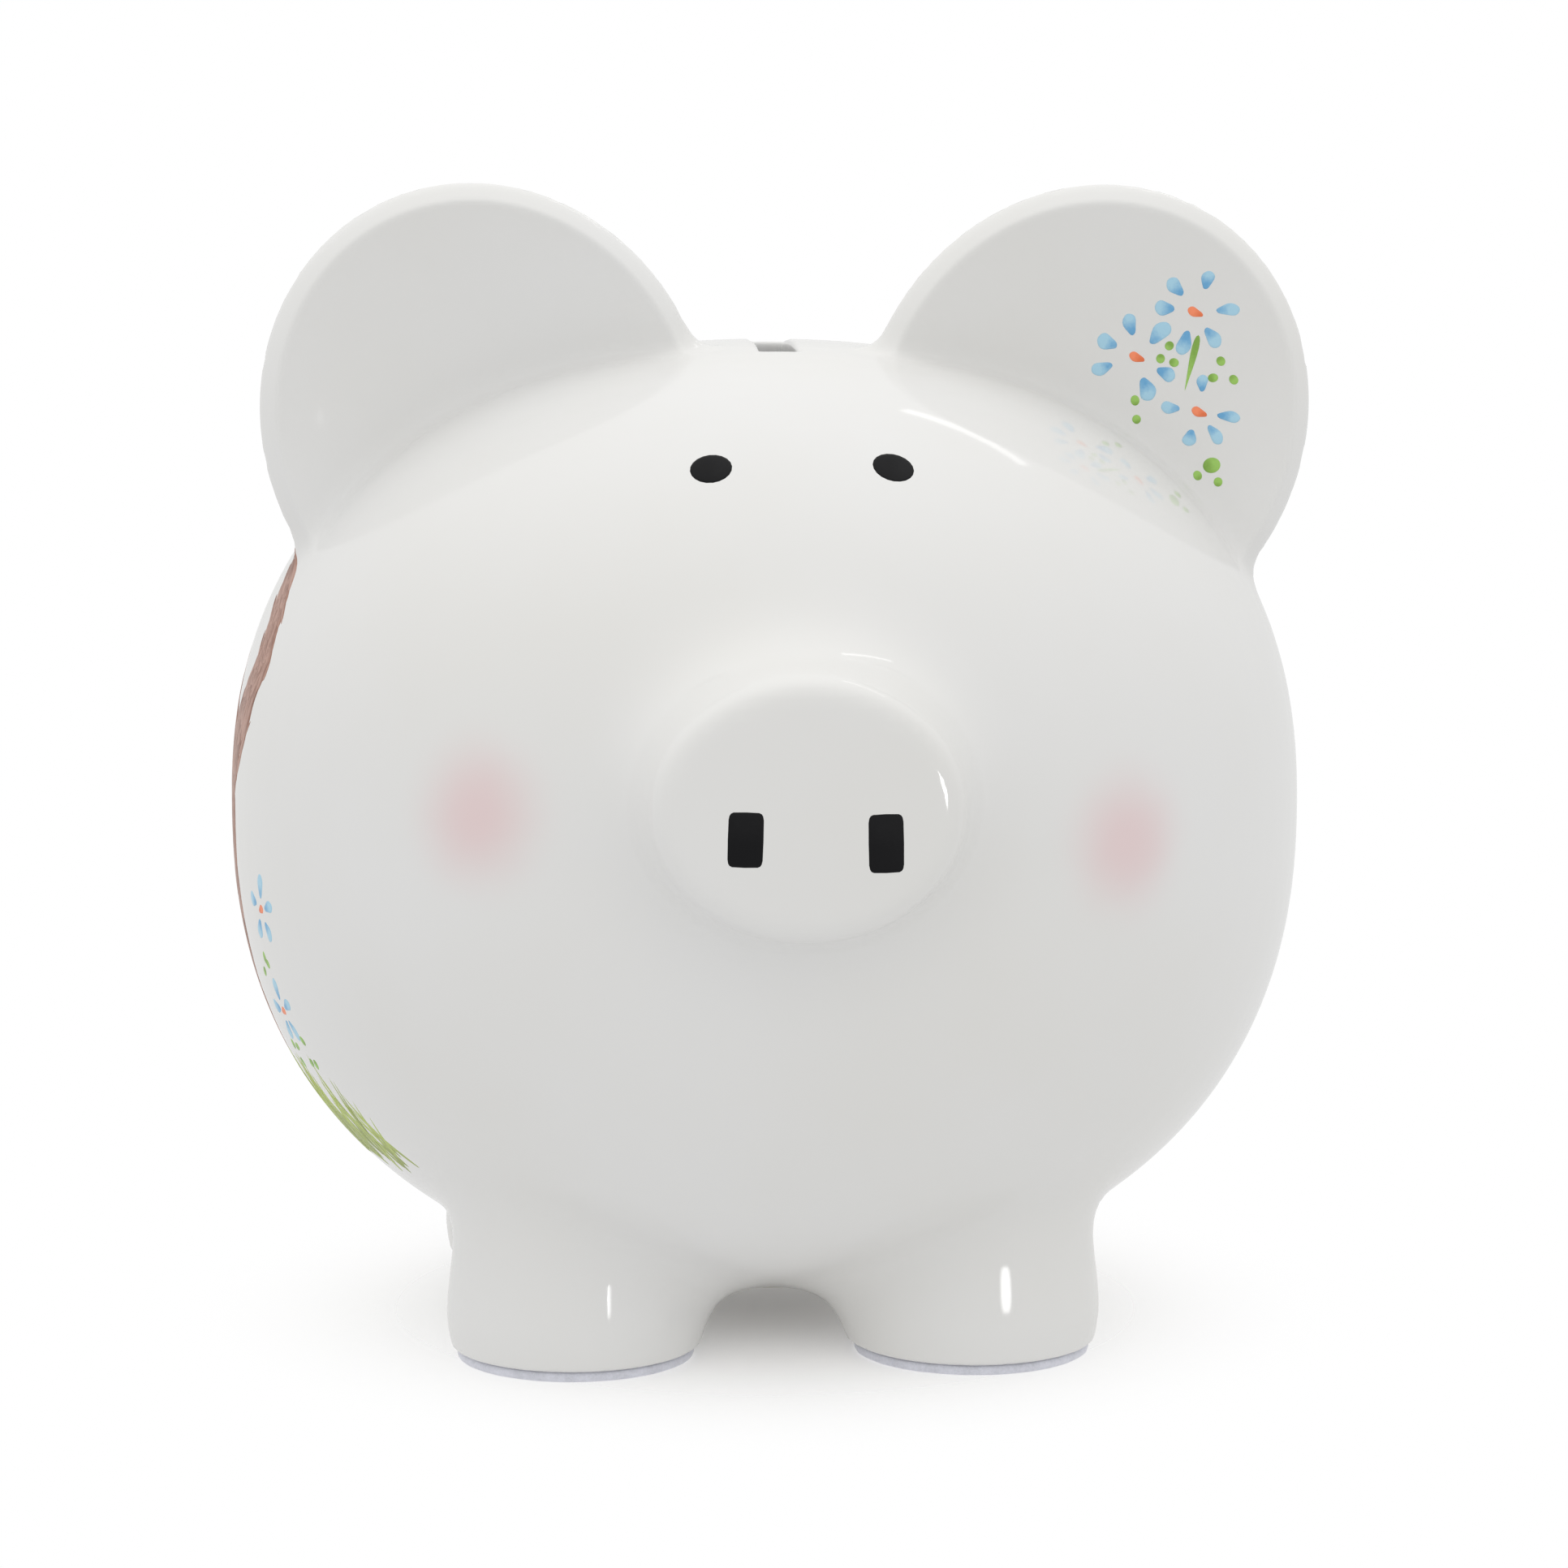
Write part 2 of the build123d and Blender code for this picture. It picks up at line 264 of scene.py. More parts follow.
class Castings:
    """Distance fields of the hollow pig, worked out from the CAD boxes."""

    def __init__(self, settings):
        self.s = settings
        low, high = node_box("body_shell")
        self.axis = (low[:2] + high[:2]) / 2
        self.radius = (high[0] - low[0]) / 2
        crown, belly = high[2], node_box("stopper")[0][2] + self.FLANGE_SUNK
        chamber_low, chamber_high = OPENINGS["coin_chamber"]
        self.girth, self.belly = (chamber_low[2] + chamber_high[2]) / 2, belly
        self.rise, self.drop = crown - self.girth, self.girth - belly
        snout_low, snout_high = node_box("snout")
        self.snout_x, _, self.snout_z = (snout_low + snout_high) / 2
        self.snout_tip = snout_low[1]
        slot_low, slot_high = np.array(OPENINGS["coin_slot"])
        self.slot_centre, self.slot_half = (slot_low + slot_high) / 2, (slot_high - slot_low) / 2 + self.SLOT_SLACK
        self.slot_centre[2], self.slot_half[2] = crown - self.SLOT_BELOW_CROWN, self.SLOT_REACH
        self.legs = []
        for foot in FEET:
            leg_low, leg_high = node_box(f"leg_{foot}")
            pad_low, pad_high = node_box(f"felt_pad_{foot}")
            x, y = (pad_low[:2] + pad_high[:2]) / 2
            self.legs.append((x, y, (leg_high[0] - leg_low[0]) / 2, leg_low[2]))
        self.ears = [Ear(side, sign) for side, sign in SIDES]
        self.tail_path = self.curl(*node_box("tail"))

    FLANGE_SUNK = 0.5 * MM
    SLOT_SLACK, SLOT_BELOW_CROWN, SLOT_REACH = np.array([0.3 * MM, 0.5 * MM, 0.0]), 2 * MM, 12 * MM
    SNOUT_HALF_WIDTH, SNOUT_HALF_HEIGHT, SNOUT_FLARE = 24.4 * MM, 20.5 * MM, 4.0 * MM
    SNOUT_DOME, SNOUT_EDGE, SNOUT_INNER_EDGE, SNOUT_ROOT = 0.9 * MM, 4.6 * MM, 3.0 * MM, 26 * MM
    LEG_WAIST, LEG_TOE, SOLE_EDGE, LEG_WALL, SOLE_WALL = 1.3 * MM, 0.9 * MM, 1.3 * MM, 6.3 * MM, 6 * MM
    LEGS_MEET, HOLLOW_FILLET, HOLLOW_EDGE = 6.0 * MM, 4.0 * MM, 1.2 * MM
    HOLE, SEAT, SEAT_DEPTH = 16.0 * MM, 20.0 * MM, 2.0 * MM
    TAIL_RADIUS, TAIL_CURL, TAIL_TURNS, TAIL_STEPS = 3.1 * MM, 6.4 * MM, 1.45, 72

    def curl(self, low, high):
        """Points and thickness along the tail: out of the rump, then round in a shrinking curl."""
        middle_x, _, middle_z = (low + high) / 2
        root_y = self.axis[1] + self.radius - 9 * MM
        reach = high[1] - self.TAIL_RADIUS * 0.62 - root_y
        points = []
        for t in np.linspace(0, 1, self.TAIL_STEPS):
            turn = -math.pi / 2 + 2 * math.pi * self.TAIL_TURNS * t
            curl = self.TAIL_CURL * (1 - 0.42 * t)
            y = root_y + reach * t**0.9
            points.append((middle_x + curl * math.cos(turn), y, middle_z + curl * math.sin(turn)))
        return np.array(points), np.linspace(self.TAIL_RADIUS, self.TAIL_RADIUS * 0.55, self.TAIL_STEPS)

    def body(self, p, inset=0.0):
        centre = (self.axis[0], self.axis[1], self.girth)
        return superellipsoid(
            p, centre, self.radius - inset, self.rise - inset, self.drop - inset, self.s.roundness
        )

    def snout(self, p, inset=0.0):
        """Tapered oval cup with a softly domed face."""
        length = self.axis[1] - self.radius - self.snout_tip
        back = p[:, 1] - self.snout_tip
        grow = self.SNOUT_FLARE * np.clip(back / length, 0, 2.2)
        half_x, half_z = self.SNOUT_HALF_WIDTH - inset + grow, self.SNOUT_HALF_HEIGHT - inset + grow
        x, z = p[:, 0] - self.snout_x, p[:, 2] - self.snout_z
        k = np.hypot(x / half_x, z / half_z)
        slope = np.maximum(np.hypot(x / half_x**2, z / half_z**2), 1e-6)
        side = np.where(k > 0.05, k * (k - 1) / slope, -half_z)
        dome = self.SNOUT_DOME * np.minimum(k, 1.3) ** 2
        face = (self.snout_tip + inset + dome) - p[:, 1]
        rear = p[:, 1] - (self.axis[1] - self.radius + self.SNOUT_ROOT)
        edge = self.SNOUT_INNER_EDGE if inset else self.SNOUT_EDGE
        return np.maximum(both(side, face, edge), rear)

    def leg(self, p, x, y, radius, sole):
        """Stub leg, narrower above the foot, with a rounded sole edge."""
        h = p[:, 2] - sole
        waist = self.LEG_WAIST * (1 - np.cos(np.clip((h - 5 * MM) / (17 * MM), 0, 1) * math.pi)) / 2
        toe = self.LEG_TOE * (1 - np.clip(h / (7 * MM), 0, 1)) ** 2
        side = np.hypot(p[:, 0] - x, p[:, 1] - y) - (radius - waist - toe)
        top = p[:, 2] - self.girth
        return np.maximum(-join(-side, h, self.SOLE_EDGE), top)

    def tail(self, p):
        points, radii = self.tail_path
        out = np.full(len(p), 0.05)
        near = np.all((p > points.min(0) - 0.02) & (p < points.max(0) + 0.02), axis=1)
        q = p[near]
        best = np.full(len(q), 0.05)
        for a, b, ra, rb in zip(points[:-1], points[1:], radii[:-1], radii[1:]):
            ab = b - a
            t = np.clip((q - a) @ ab / (ab @ ab), 0, 1)
            best = np.minimum(best, np.linalg.norm(q - a - t[:, None] * ab, axis=1) - (ra + (rb - ra) * t))
        out[near] = best
        return out

    def outside(self, p):
        """Outer surface, with every slip fillet, before the openings are cut."""
        d = self.body(p)
        for ear in self.ears:
            d = join(d, ear.distance(p), self.s.ear_fillet)
        d = join(d, self.snout(p), self.s.snout_fillet)
        legs = np.full(len(p), 1.0)
        for leg in self.legs:
            legs = join(legs, self.leg(p, *leg), self.LEGS_MEET)
        out = np.hypot(p[:, 0] - self.axis[0], p[:, 1] - self.axis[1])
        spread = np.clip((out - 30 * MM) / (38 * MM), 0, 1)
        d = join(d, legs, self.s.inner_fillet + (self.s.outer_fillet - self.s.inner_fillet) * spread)
        return join(d, self.tail(p), self.s.tail_fillet)

    def hollow(self, p):
        """The space inside: body, legs and snout."""
        d = self.body(p, self.s.wall)
        d = join(d, self.snout(p, 5.0 * MM), self.HOLLOW_FILLET)
        for x, y, radius, sole in self.legs:
            rod = upright_rod(p, x, y, radius - self.LEG_WALL, sole + self.SOLE_WALL, self.girth, 3 * MM)
            d = join(d, rod, self.HOLLOW_FILLET)
        return d

    def slot(self, p):
        return block(p, self.slot_centre, self.slot_half, 0.9 * MM)

    def belly_hole(self, p):
        x, y = self.axis
        hole = upright_rod(p, x, y, self.HOLE, self.belly - 0.01, self.belly + 0.02)
        seat = upright_rod(p, x, y, self.SEAT, self.belly - 0.01, self.belly + self.SEAT_DEPTH, 0.3 * MM)
        return np.minimum(hole, seat)

    def __call__(self, p):
        d = cut(self.outside(p), self.hollow(p), self.HOLLOW_EDGE)
        d = cut(d, self.slot(p), self.s.lip)
        return cut(d, self.belly_hole(p), self.s.lip)


class Stopper:
    """Distance field of the moulded rubber stopper."""

    def __init__(self, settings):
        low, high = node_box("stopper")
        self.x, self.y = (low[:2] + high[:2]) / 2
        self.low, self.high = low[2], high[2]
        self.flange = (high[0] - low[0]) / 2
        self.edge = settings.edge

    FLANGE_HEIGHT, PLUG, GRIP, CEILING = 2.4 * MM, 15.2 * MM, 11.5 * MM, 3.0 * MM
    RIB_OUT, RIB_PITCH, BAR = 0.7 * MM, 4.0 * MM, (2.2 * MM, 11.8 * MM, 1.7 * MM)

    def __call__(self, p):
        top = self.low + self.FLANGE_HEIGHT
        d = upright_rod(p, self.x, self.y, self.flange, self.low, top, self.edge)
        plug = upright_rod(p, self.x, self.y, self.PLUG, self.low + MM, self.high, 1.5 * MM)
        d = join(d, plug, 0.9 * MM)
        for row in (1, 2):
            z = top + row * self.RIB_PITCH
            r = np.hypot(p[:, 0] - self.x, p[:, 1] - self.y) - self.PLUG
            rib = np.hypot(r, p[:, 2] - z) - self.RIB_OUT
            d = join(d, rib, 0.6 * MM)
        grip = upright_rod(p, self.x, self.y, self.GRIP, self.low - 0.01, self.high - self.CEILING, 1.4 * MM)
        d = cut(d, grip, 1.2 * MM)
        bar = block(p, (self.x, self.y, self.low + self.BAR[2]), self.BAR, 1.1 * MM)
        return join(d, bar, 1.4 * MM)


# ---------------------------------------------------------------- from a field to a mesh


def slope(field, p, h=3e-5):
    """Gradient of a field at points."""
    out = np.empty_like(p)
    for axis in range(3):
        step = np.zeros(3)
        step[axis] = h
        out[:, axis] = (field(p + step) - field(p - step)) / (2 * h)
    return out


def settle(field, p, rounds=4, reach=1.0 * MM):
    """Moves points onto the field's surface."""
    for _ in range(rounds):
        g = slope(field, p)
        move = field(p) / np.maximum((g * g).sum(1), 0.05)
        p = p - g * np.clip(move, -reach, reach)[:, None]
    return p


def cast_onto(field, p, direction):
    """Where straight lines from points first meet the field's surface."""
    direction = np.broadcast_to(np.asarray(direction, float), p.shape)
    direction = direction / np.linalg.norm(direction, axis=1)[:, None]
    for _ in range(90):
        p = p + direction * np.clip(field(p), -2 * MM, 6 * MM)[:, None] * 0.7
    return p


def normals(field, p):
    g = slope(field, p)
    return g / np.maximum(np.linalg.norm(g, axis=1), 1e-9)[:, None]


def field_to_quads(field, low, high, step):
    """Closed quad mesh round the inside of a field: one point in each grid cell that the surface crosses."""
    axes = [np.arange(a - 2 * step, b + 2 * step, step) for a, b in zip(low, high)]
    shape = tuple(len(a) for a in axes)
    value = np.empty(shape)
    flat = np.stack(np.meshgrid(axes[1], axes[2], indexing="ij"), -1).reshape(-1, 2)
    for i, x in enumerate(axes[0]):
        value[i] = field(np.column_stack((np.full(len(flat), x), flat))).reshape(shape[1:])
    inside = value < 0
    corner = [(i, j, k) for i in (0, 1) for j in (0, 1) for k in (0, 1)]

    def at(grid, ijk):
        return grid[tuple(slice(o, n - 1 + o) for o, n in zip(ijk, shape))]

    count = sum(at(inside, c).astype(int) for c in corner)
    cells = np.argwhere((count > 0) & (count < 8))
    index = np.full(tuple(n - 1 for n in shape), -1)
    index[tuple(cells.T)] = np.arange(len(cells))
    total, hits = np.zeros((len(cells), 3)), np.zeros(len(cells))
    for start in corner:
        for axis in range(3):
            if start[axis]:
                continue
            end = tuple(1 if n == axis else o for n, o in enumerate(start))
            a = value[tuple((cells + start).T)]
            b = value[tuple((cells + end).T)]
            cross = (a < 0) != (b < 0)
            t = np.where(cross, a / np.where(cross, a - b, 1), 0)
            spot = np.asarray(start, float) + t[:, None] * (np.asarray(end) - start)
            total += spot * cross[:, None]
            hits += cross
    origin = np.array([a[0] for a in axes])
    points = origin + (cells + total / hits[:, None]) * step
    quads = []
    for a in range(3):
        b, c = (a + 1) % 3, (a + 2) % 3
        lower, upper = [slice(1, -1)] * 3, [slice(1, -1)] * 3
        lower[a], upper[a] = slice(0, -1), slice(1, None)
        low_in, high_in = inside[tuple(lower)], inside[tuple(upper)]
        spots = np.argwhere(low_in != high_in)
        rising = low_in[tuple(spots.T)]
        spots[:, b] += 1
        spots[:, c] += 1
        eb, ec = np.eye(3, dtype=int)[b], np.eye(3, dtype=int)[c]
        ring = [index[tuple((spots - o).T)] for o in (eb + ec, ec, 0 * eb, eb)]
        quad = np.stack(ring, 1)
        quad[~rising] = quad[~rising][:, ::-1]
        quads.append(quad)
    return points, np.concatenate(quads)


def relax(field, points, edges, rounds):
    """Evens out the mesh along the surface."""
    a, b = edges.T
    n = len(points)
    degree = np.maximum(np.bincount(a, minlength=n) + np.bincount(b, minlength=n), 1)[:, None]
    for _ in range(rounds):
        mean = np.stack(
            [np.bincount(a, points[b, k], n) + np.bincount(b, points[a, k], n) for k in range(3)], 1
        )
        move = mean / degree - points
        normal = normals(field, points)
        move -= (move * normal).sum(1)[:, None] * normal
        points = settle(field, points + 0.6 * move, 1)
    return points


def edges_of(mesh):
    pairs = np.empty(len(mesh.edges) * 2, dtype=np.int64)
    mesh.edges.foreach_get("vertices", pairs)
    return pairs.reshape(-1, 2)


def points_of(mesh):
    flat = np.empty(len(mesh.vertices) * 3)
    mesh.vertices.foreach_get("co", flat)
    return flat.reshape(-1, 3)


def place_points(mesh, points):
    mesh.vertices.foreach_set("co", points.ravel())
    mesh.update()


def refine(mesh, wanted):
    """Halves every edge that is longer than wanted at its middle."""
    points, pairs = points_of(mesh), edges_of(mesh)
    middle = points[pairs].mean(1)
    length = np.linalg.norm(points[pairs[:, 0]] - points[pairs[:, 1]], axis=1)
    chosen = np.flatnonzero(length > wanted(middle))
    bm = bmesh.new()
    bm.from_mesh(mesh)
    bm.edges.ensure_lookup_table()
    bmesh.ops.subdivide_edges(bm, edges=[bm.edges[i] for i in chosen], cuts=1, use_grid_fill=True)
    many = [f for f in bm.faces if len(f.verts) > 4]
    bmesh.ops.triangulate(bm, faces=many)
    bm.to_mesh(mesh)
    bm.free()
    mesh.update()


def mesh_from(name, points, faces):
    mesh = bpy.data.meshes.new(name)
    mesh.from_pydata(points.tolist(), [], faces.tolist())
    mesh.validate()
    mesh.update()
    return mesh


def skin(name, field, low, high, step, wanted, rounds):
    """Mesh object of a field: quads, refined where wanted is finer, evened out and settled onto the surface."""
    points, quads = field_to_quads(field, low, high, step)
    mesh = mesh_from(name, settle(field, points, 3), quads)
    place_points(mesh, relax(field, points_of(mesh), edges_of(mesh), 3))
    for _ in range(rounds):
        refine(mesh, wanted)
        points = settle(field, points_of(mesh), 2)
        place_points(mesh, relax(field, points, edges_of(mesh), 2))
    place_points(mesh, settle(field, points_of(mesh), 3, 0.2 * MM))
    return add_object(name, mesh)


def add_object(name, mesh):
    obj = bpy.data.objects.new(name, mesh)
    bpy.context.scene.collection.objects.link(obj)
    mesh.name = name
    return obj


def smooth(mesh):
    mesh.polygons.foreach_set("use_smooth", np.ones(len(mesh.polygons), dtype=bool))


def shade_by(obj, field):
    """Smooth shading with the field's own normals."""
    mesh = obj.data
    smooth(mesh)
    mesh.normals_split_custom_set_from_vertices(normals(field, points_of(mesh)).tolist())


def dress(obj, body, slot, material, *nodes):
    """Gives a finished piece its material and its body, and hides the CAD nodes it stands for; slot is not used."""
    obj.data.materials.clear()
    obj.data.materials.append(material)
    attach(obj, body)
    if nodes:
        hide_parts(*nodes)


# ---------------------------------------------------------------- materials


class Nodes:
    """Short calls for building a node tree: the one given, or a new material's."""

    def __init__(self, name, tree=None):
        if tree is None:
            self.material = bpy.data.materials.new(name)
            self.material.use_nodes = True
            tree = self.material.node_tree
            self.shader = tree.nodes["Principled BSDF"]
        self.tree = tree

    def add(self, kind, links=None, **values):
        node = self.tree.nodes.new(kind)
        for key, value in values.items():
            if key in node.bl_rna.properties:
                setattr(node, key, value)
            else:
                node.inputs[key.replace("_", " ")].default_value = value
        for socket, source in (links or {}).items():
            self.tree.links.new(source, node.inputs[socket])
        return node

    def math(self, operation, *inputs):
        """A maths node: each input a link or a value."""
        node = self.add("ShaderNodeMath", operation=operation)
        for socket, value in zip(node.inputs, inputs):
            if isinstance(value, bpy.types.NodeSocket):
                self.tree.links.new(value, socket)
            else:
                socket.default_value = value
        return node.outputs[0]

    def distance(self, centre):
        """Distance from a place, in the piece's own coordinates."""
        offset = self.add("ShaderNodeVectorMath", {0: self.place()}, operation="SUBTRACT")
        offset.inputs[1].default_value = tuple(centre)
        return self.add("ShaderNodeVectorMath", {0: offset.outputs[0]}, operation="LENGTH").outputs["Value"]

    def span(self, source, *ends):
        """Smooth step from one range to another: from least, from most, to least, to most."""
        node = self.add("ShaderNodeMapRange", {"Value": source}, interpolation_type="SMOOTHERSTEP")
        for socket, value in zip(("From Min", "From Max", "To Min", "To Max"), ends):
            node.inputs[socket].default_value = value
        return node.outputs[0]

    def mix(self, factor, a, b):
        node = self.tree.nodes.new("ShaderNodeMix")
        node.data_type = "RGBA"
        node.clamp_factor = True
        for socket, value in ((node.inputs[0], factor), (node.inputs[6], a), (node.inputs[7], b)):
            if isinstance(value, bpy.types.NodeSocket):
                self.tree.links.new(value, socket)
            elif isinstance(value, (int, float)):
                socket.default_value = value
            else:
                socket.default_value = (*value, 1.0)
        return node.outputs[2]

    def ramp(self, source, *stops):
        node = self.tree.nodes.new("ShaderNodeValToRGB")
        self.tree.links.new(source, node.inputs[0])
        elements = node.color_ramp.elements
        while len(elements) < len(stops):
            elements.new(0.5)
        for element, (at, grey) in zip(elements, stops):
            element.position = at
            element.color = (grey, grey, grey, 1.0)
        return node.outputs[0]

    def place(self):
        return self.add("ShaderNodeTexCoord").outputs["Object"]

    def noise(self, scale, detail=3.0, roughness=0.5):
        return self.add(
            "ShaderNodeTexNoise", {"Vector": self.place()}, Scale=scale, Detail=detail, Roughness=roughness
        ).outputs["Fac"]

    def bump(self, height, distance, strength=1.0, under=None):
        links = {"Height": height}
        if under is not None:
            links["Normal"] = under
        return self.add("ShaderNodeBump", links, Distance=distance, Strength=strength).outputs[0]

    def link(self, source, socket):
        self.tree.links.new(source, self.shader.inputs[socket])

    def set(self, **values):
        for key, value in values.items():
            self.shader.inputs[key.replace("_", " ")].default_value = value


def darker(colour, share):
    return tuple(c * share for c in colour)


def paler(colour, gain, lift=0.0):
    return tuple(min(1, c * gain + lift) for c in colour)


def near_spot(n, centre, radius):
    """1 at a place, falling to 0 at radius, slightly cloudy at its edge."""
    cloud = n.math("MULTIPLY_ADD", n.noise(70.0), 0.16 * radius, -0.08 * radius)
    return n.span(n.math("ADD", n.distance(centre), cloud), 0.0, radius, 1.0, 0.0)


CHEEK_RADIUS, CHEEK_SOFTNESS, CHEEK_WASH = 21 * MM, 1.6, 0.46


def glaze_material(glaze, cheeks):
    """Glossy warm white glaze over clay, with the cheeks' blush."""
    n = Nodes("glaze")
    cloud = n.ramp(n.noise(14.0, 4.0), (0.35, 0.0), (0.75, 1.0))
    colour = n.mix(cloud, tuple(glaze.white), tuple(glaze.cream))
    for centre in cheeks:
        soft = n.math("POWER", near_spot(n, centre, CHEEK_RADIUS), CHEEK_SOFTNESS)
        colour = n.mix(n.math("MULTIPLY", soft, CHEEK_WASH), colour, tuple(glaze.blush))
    n.link(colour, "Base Color")
    wavy = n.bump(n.noise(26.0, 2.0), 0.35 * MM, 0.22)
    n.link(n.bump(n.noise(230.0, 2.0), 0.02 * MM, 0.30, wavy), "Normal")
    n.set(Roughness=glaze.roughness, IOR=1.52, Coat_Weight=0.0)
    return n.material


def paint_material(name, deep, pale, roughness=0.35, shine=0.25):
    """Brushed ceramic colour: streaky, thinner where the brush ran dry."""
    n = Nodes(name)
    along = n.add("ShaderNodeAttribute", attribute_name="reach").outputs["Fac"]
    tone = n.add("ShaderNodeAttribute", attribute_name="tone").outputs["Fac"]
    streak = n.noise(1400.0, 3.0, 0.6)
    mottled = n.math("MULTIPLY_ADD", streak, 0.7, -0.35)
    total = n.math("ADD", n.math("ADD", along, mottled), tone)
    n.link(n.mix(n.ramp(total, (0.15, 0.0), (0.95, 1.0)), tuple(pale), tuple(deep)), "Base Color")
    n.link(n.bump(streak, 0.02 * MM, 0.35), "Normal")
    n.set(Roughness=roughness, IOR=1.5, Specular_IOR_Level=shine)
    return n.material


def rubber_material(colour):
    """Soft moulded rubber, faintly cloudy, with a fine satin grain."""
    n = Nodes("stopper_rubber")
    cloud = n.ramp(n.noise(160.0, 4.0), (0.3, 0.0), (0.75, 1.0))
    n.link(n.mix(cloud, tuple(colour), darker(colour, 0.9)), "Base Color")
    n.link(n.ramp(n.noise(700.0), (0.2, 0.42), (0.8, 0.55)), "Roughness")
    n.link(n.bump(n.noise(2200.0, 2.0), 0.03 * MM, 0.4), "Normal")
    n.set(IOR=1.45, Subsurface_Weight=0.25, Subsurface_Scale=0.002)
    n.shader.inputs["Subsurface Radius"].default_value = (1.0, 0.9, 0.7)
    return n.material


def felt_material(colour):
    """Pressed felt: matted fibres, slightly fuzzy at grazing angles."""
    n = Nodes("felt")
    fine = n.noise(1900.0, 5.0, 0.65)
    broad = n.noise(330.0, 3.0)
    shade = n.mix(n.ramp(fine, (0.3, 0.0), (0.72, 1.0)), darker(colour, 0.80), tuple(colour))
    shade = n.mix(n.ramp(broad, (0.35, 0.0), (0.7, 0.5)), shade, paler(colour, 1.12))
    n.link(shade, "Base Color")
    n.link(n.bump(fine, 0.12 * MM, 0.8), "Normal")
    n.set(Roughness=0.95, Sheen_Weight=0.35, Sheen_Roughness=0.5)
    return n.material


def glue_material(colour):
    """Tacky film, slightly patchy."""
    n = Nodes("pad_adhesive")
    patches = n.ramp(n.noise(500.0), (0.3, 0.0), (0.7, 1.0))
    n.link(n.mix(patches, tuple(colour), darker(colour, 0.85)), "Base Color")
    n.link(n.bump(n.noise(900.0), 0.03 * MM, 0.5), "Normal")
    n.set(Roughness=0.35)
    return n.material


# ---------------------------------------------------------------- brush marks


def ring_faces(rings, around, bottom, top):
    """Faces between rings of points, closed by a point under the first and a point over the last."""
    faces = []
    for a in range(0, (rings - 1) * around, around):
        for i in range(around):
            j = (i + 1) % around
            faces.append((a + i, a + j, a + around + j, a + around + i))
    last = (rings - 1) * around
    for i in range(around):
        j = (i + 1) % around
        faces.append((j, i, bottom))
        faces.append((last + i, last + j, top))
    return faces


def unit_mark(kind):
    """One brush mark of half length and half width 1, lying on XY with its brush end at -X."""
    around = 20
    rings = ((1.0, -1.0), (0.99, 0.1), (0.86, 0.8), (0.5, 1.0))  # size, height over the glaze
    points, lift, reach = [], [], []
    for size, height in rings:
        for i in range(around):
            turn = 2 * math.pi * i / around
            x, y = math.cos(turn), math.sin(turn)
            if kind == "petal":
                y *= 0.62 + 0.42 * (1 - x) / 2 + 0.10 * math.sin(3 * turn + 0.6)
            elif kind == "stem":
                y *= 0.18 + 0.82 * ((1 - x) / 2) ** 1.3
            elif kind == "block":
                y = math.copysign(abs(y) ** 0.28, y)
                x = math.copysign(abs(x) ** 0.28, x)
            points.append((x * size, y * size, 0.0))
            lift.append(height)
            reach.append((1 - x) / 2 if kind != "petal" else (1 + x) / 2)
    for size, height in ((0.0, 1.0), (0.0, -1.0)):
        points.append((0.0, 0.0, 0.0))
        lift.append(height)
        reach.append(0.5)
    mesh = bpy.data.meshes.new(f"mark_{kind}")
    mesh.from_pydata(points, [], ring_faces(len(rings), around, len(points) - 1, len(points) - 2))
    for name, values in (("lift", lift), ("reach", reach)):
        mesh.attributes.new(name, "FLOAT", "POINT").data.foreach_set("value", values)
    return mesh


def mark_tree():
    """Geometry Nodes that lay one mark at every point, turned along it and sized by its attributes."""
    tree = bpy.data.node_groups.new("brush_marks", "GeometryNodeTree")
    for name, way, kind in (
        ("Geometry", "INPUT", "Geometry"), ("Mark", "INPUT", "Object"),
        ("Material", "INPUT", "Material"), ("Geometry", "OUTPUT", "Geometry"),
    ):
        tree.interface.new_socket(name, in_out=way, socket_type="NodeSocket" + kind)
    n = Nodes("brush_marks", tree)
    start, end = n.add("NodeGroupInput"), n.add("NodeGroupOutput")

    def attribute(name):
        return n.add("GeometryNodeInputNamedAttribute", data_type="FLOAT_VECTOR", Name=name).outputs["Attribute"]

    mark = n.add("GeometryNodeObjectInfo", {"Object": start.outputs["Mark"]})
    align = "FunctionNodeAlignRotationToVector"
    upright = n.add(align, {"Vector": attribute("facing")}, axis="Z").outputs[0]
    turned = n.add(align, {"Rotation": upright, "Vector": attribute("heading")}, axis="X", pivot_axis="Z")
    points, rotation, shape = start.outputs["Geometry"], turned.outputs[0], mark.outputs["Geometry"]
    links = {"Points": points, "Instance": shape, "Rotation": rotation, "Scale": attribute("size")}
    real = n.add("GeometryNodeRealizeInstances", {0: n.add("GeometryNodeInstanceOnPoints", links).outputs[0]})
    links = {"Geometry": real.outputs[0], "Material": start.outputs["Material"]}
    tree.links.new(n.add("GeometryNodeSetMaterial", links).outputs[0], end.inputs[0])
    return tree


def run_tree(name, mesh, tree, values):
    """Plain mesh made by a node tree from a mesh, with the tree's named inputs set."""
    holder = add_object(name + "_points", mesh)
    modifier = holder.modifiers.new("build", "NODES")
    modifier.node_group = tree
    for item in tree.interface.items_tree:
        if item.in_out == "INPUT" and item.name in values:
            modifier[item.identifier] = values[item.name]
    graph = bpy.context.evaluated_depsgraph_get()
    made = bpy.data.meshes.new_from_object(
        holder.evaluated_get(graph), preserve_all_data_layers=True, depsgraph=graph
    )
    holder.modifiers.remove(modifier)
    bpy.data.objects.remove(holder)
    return made


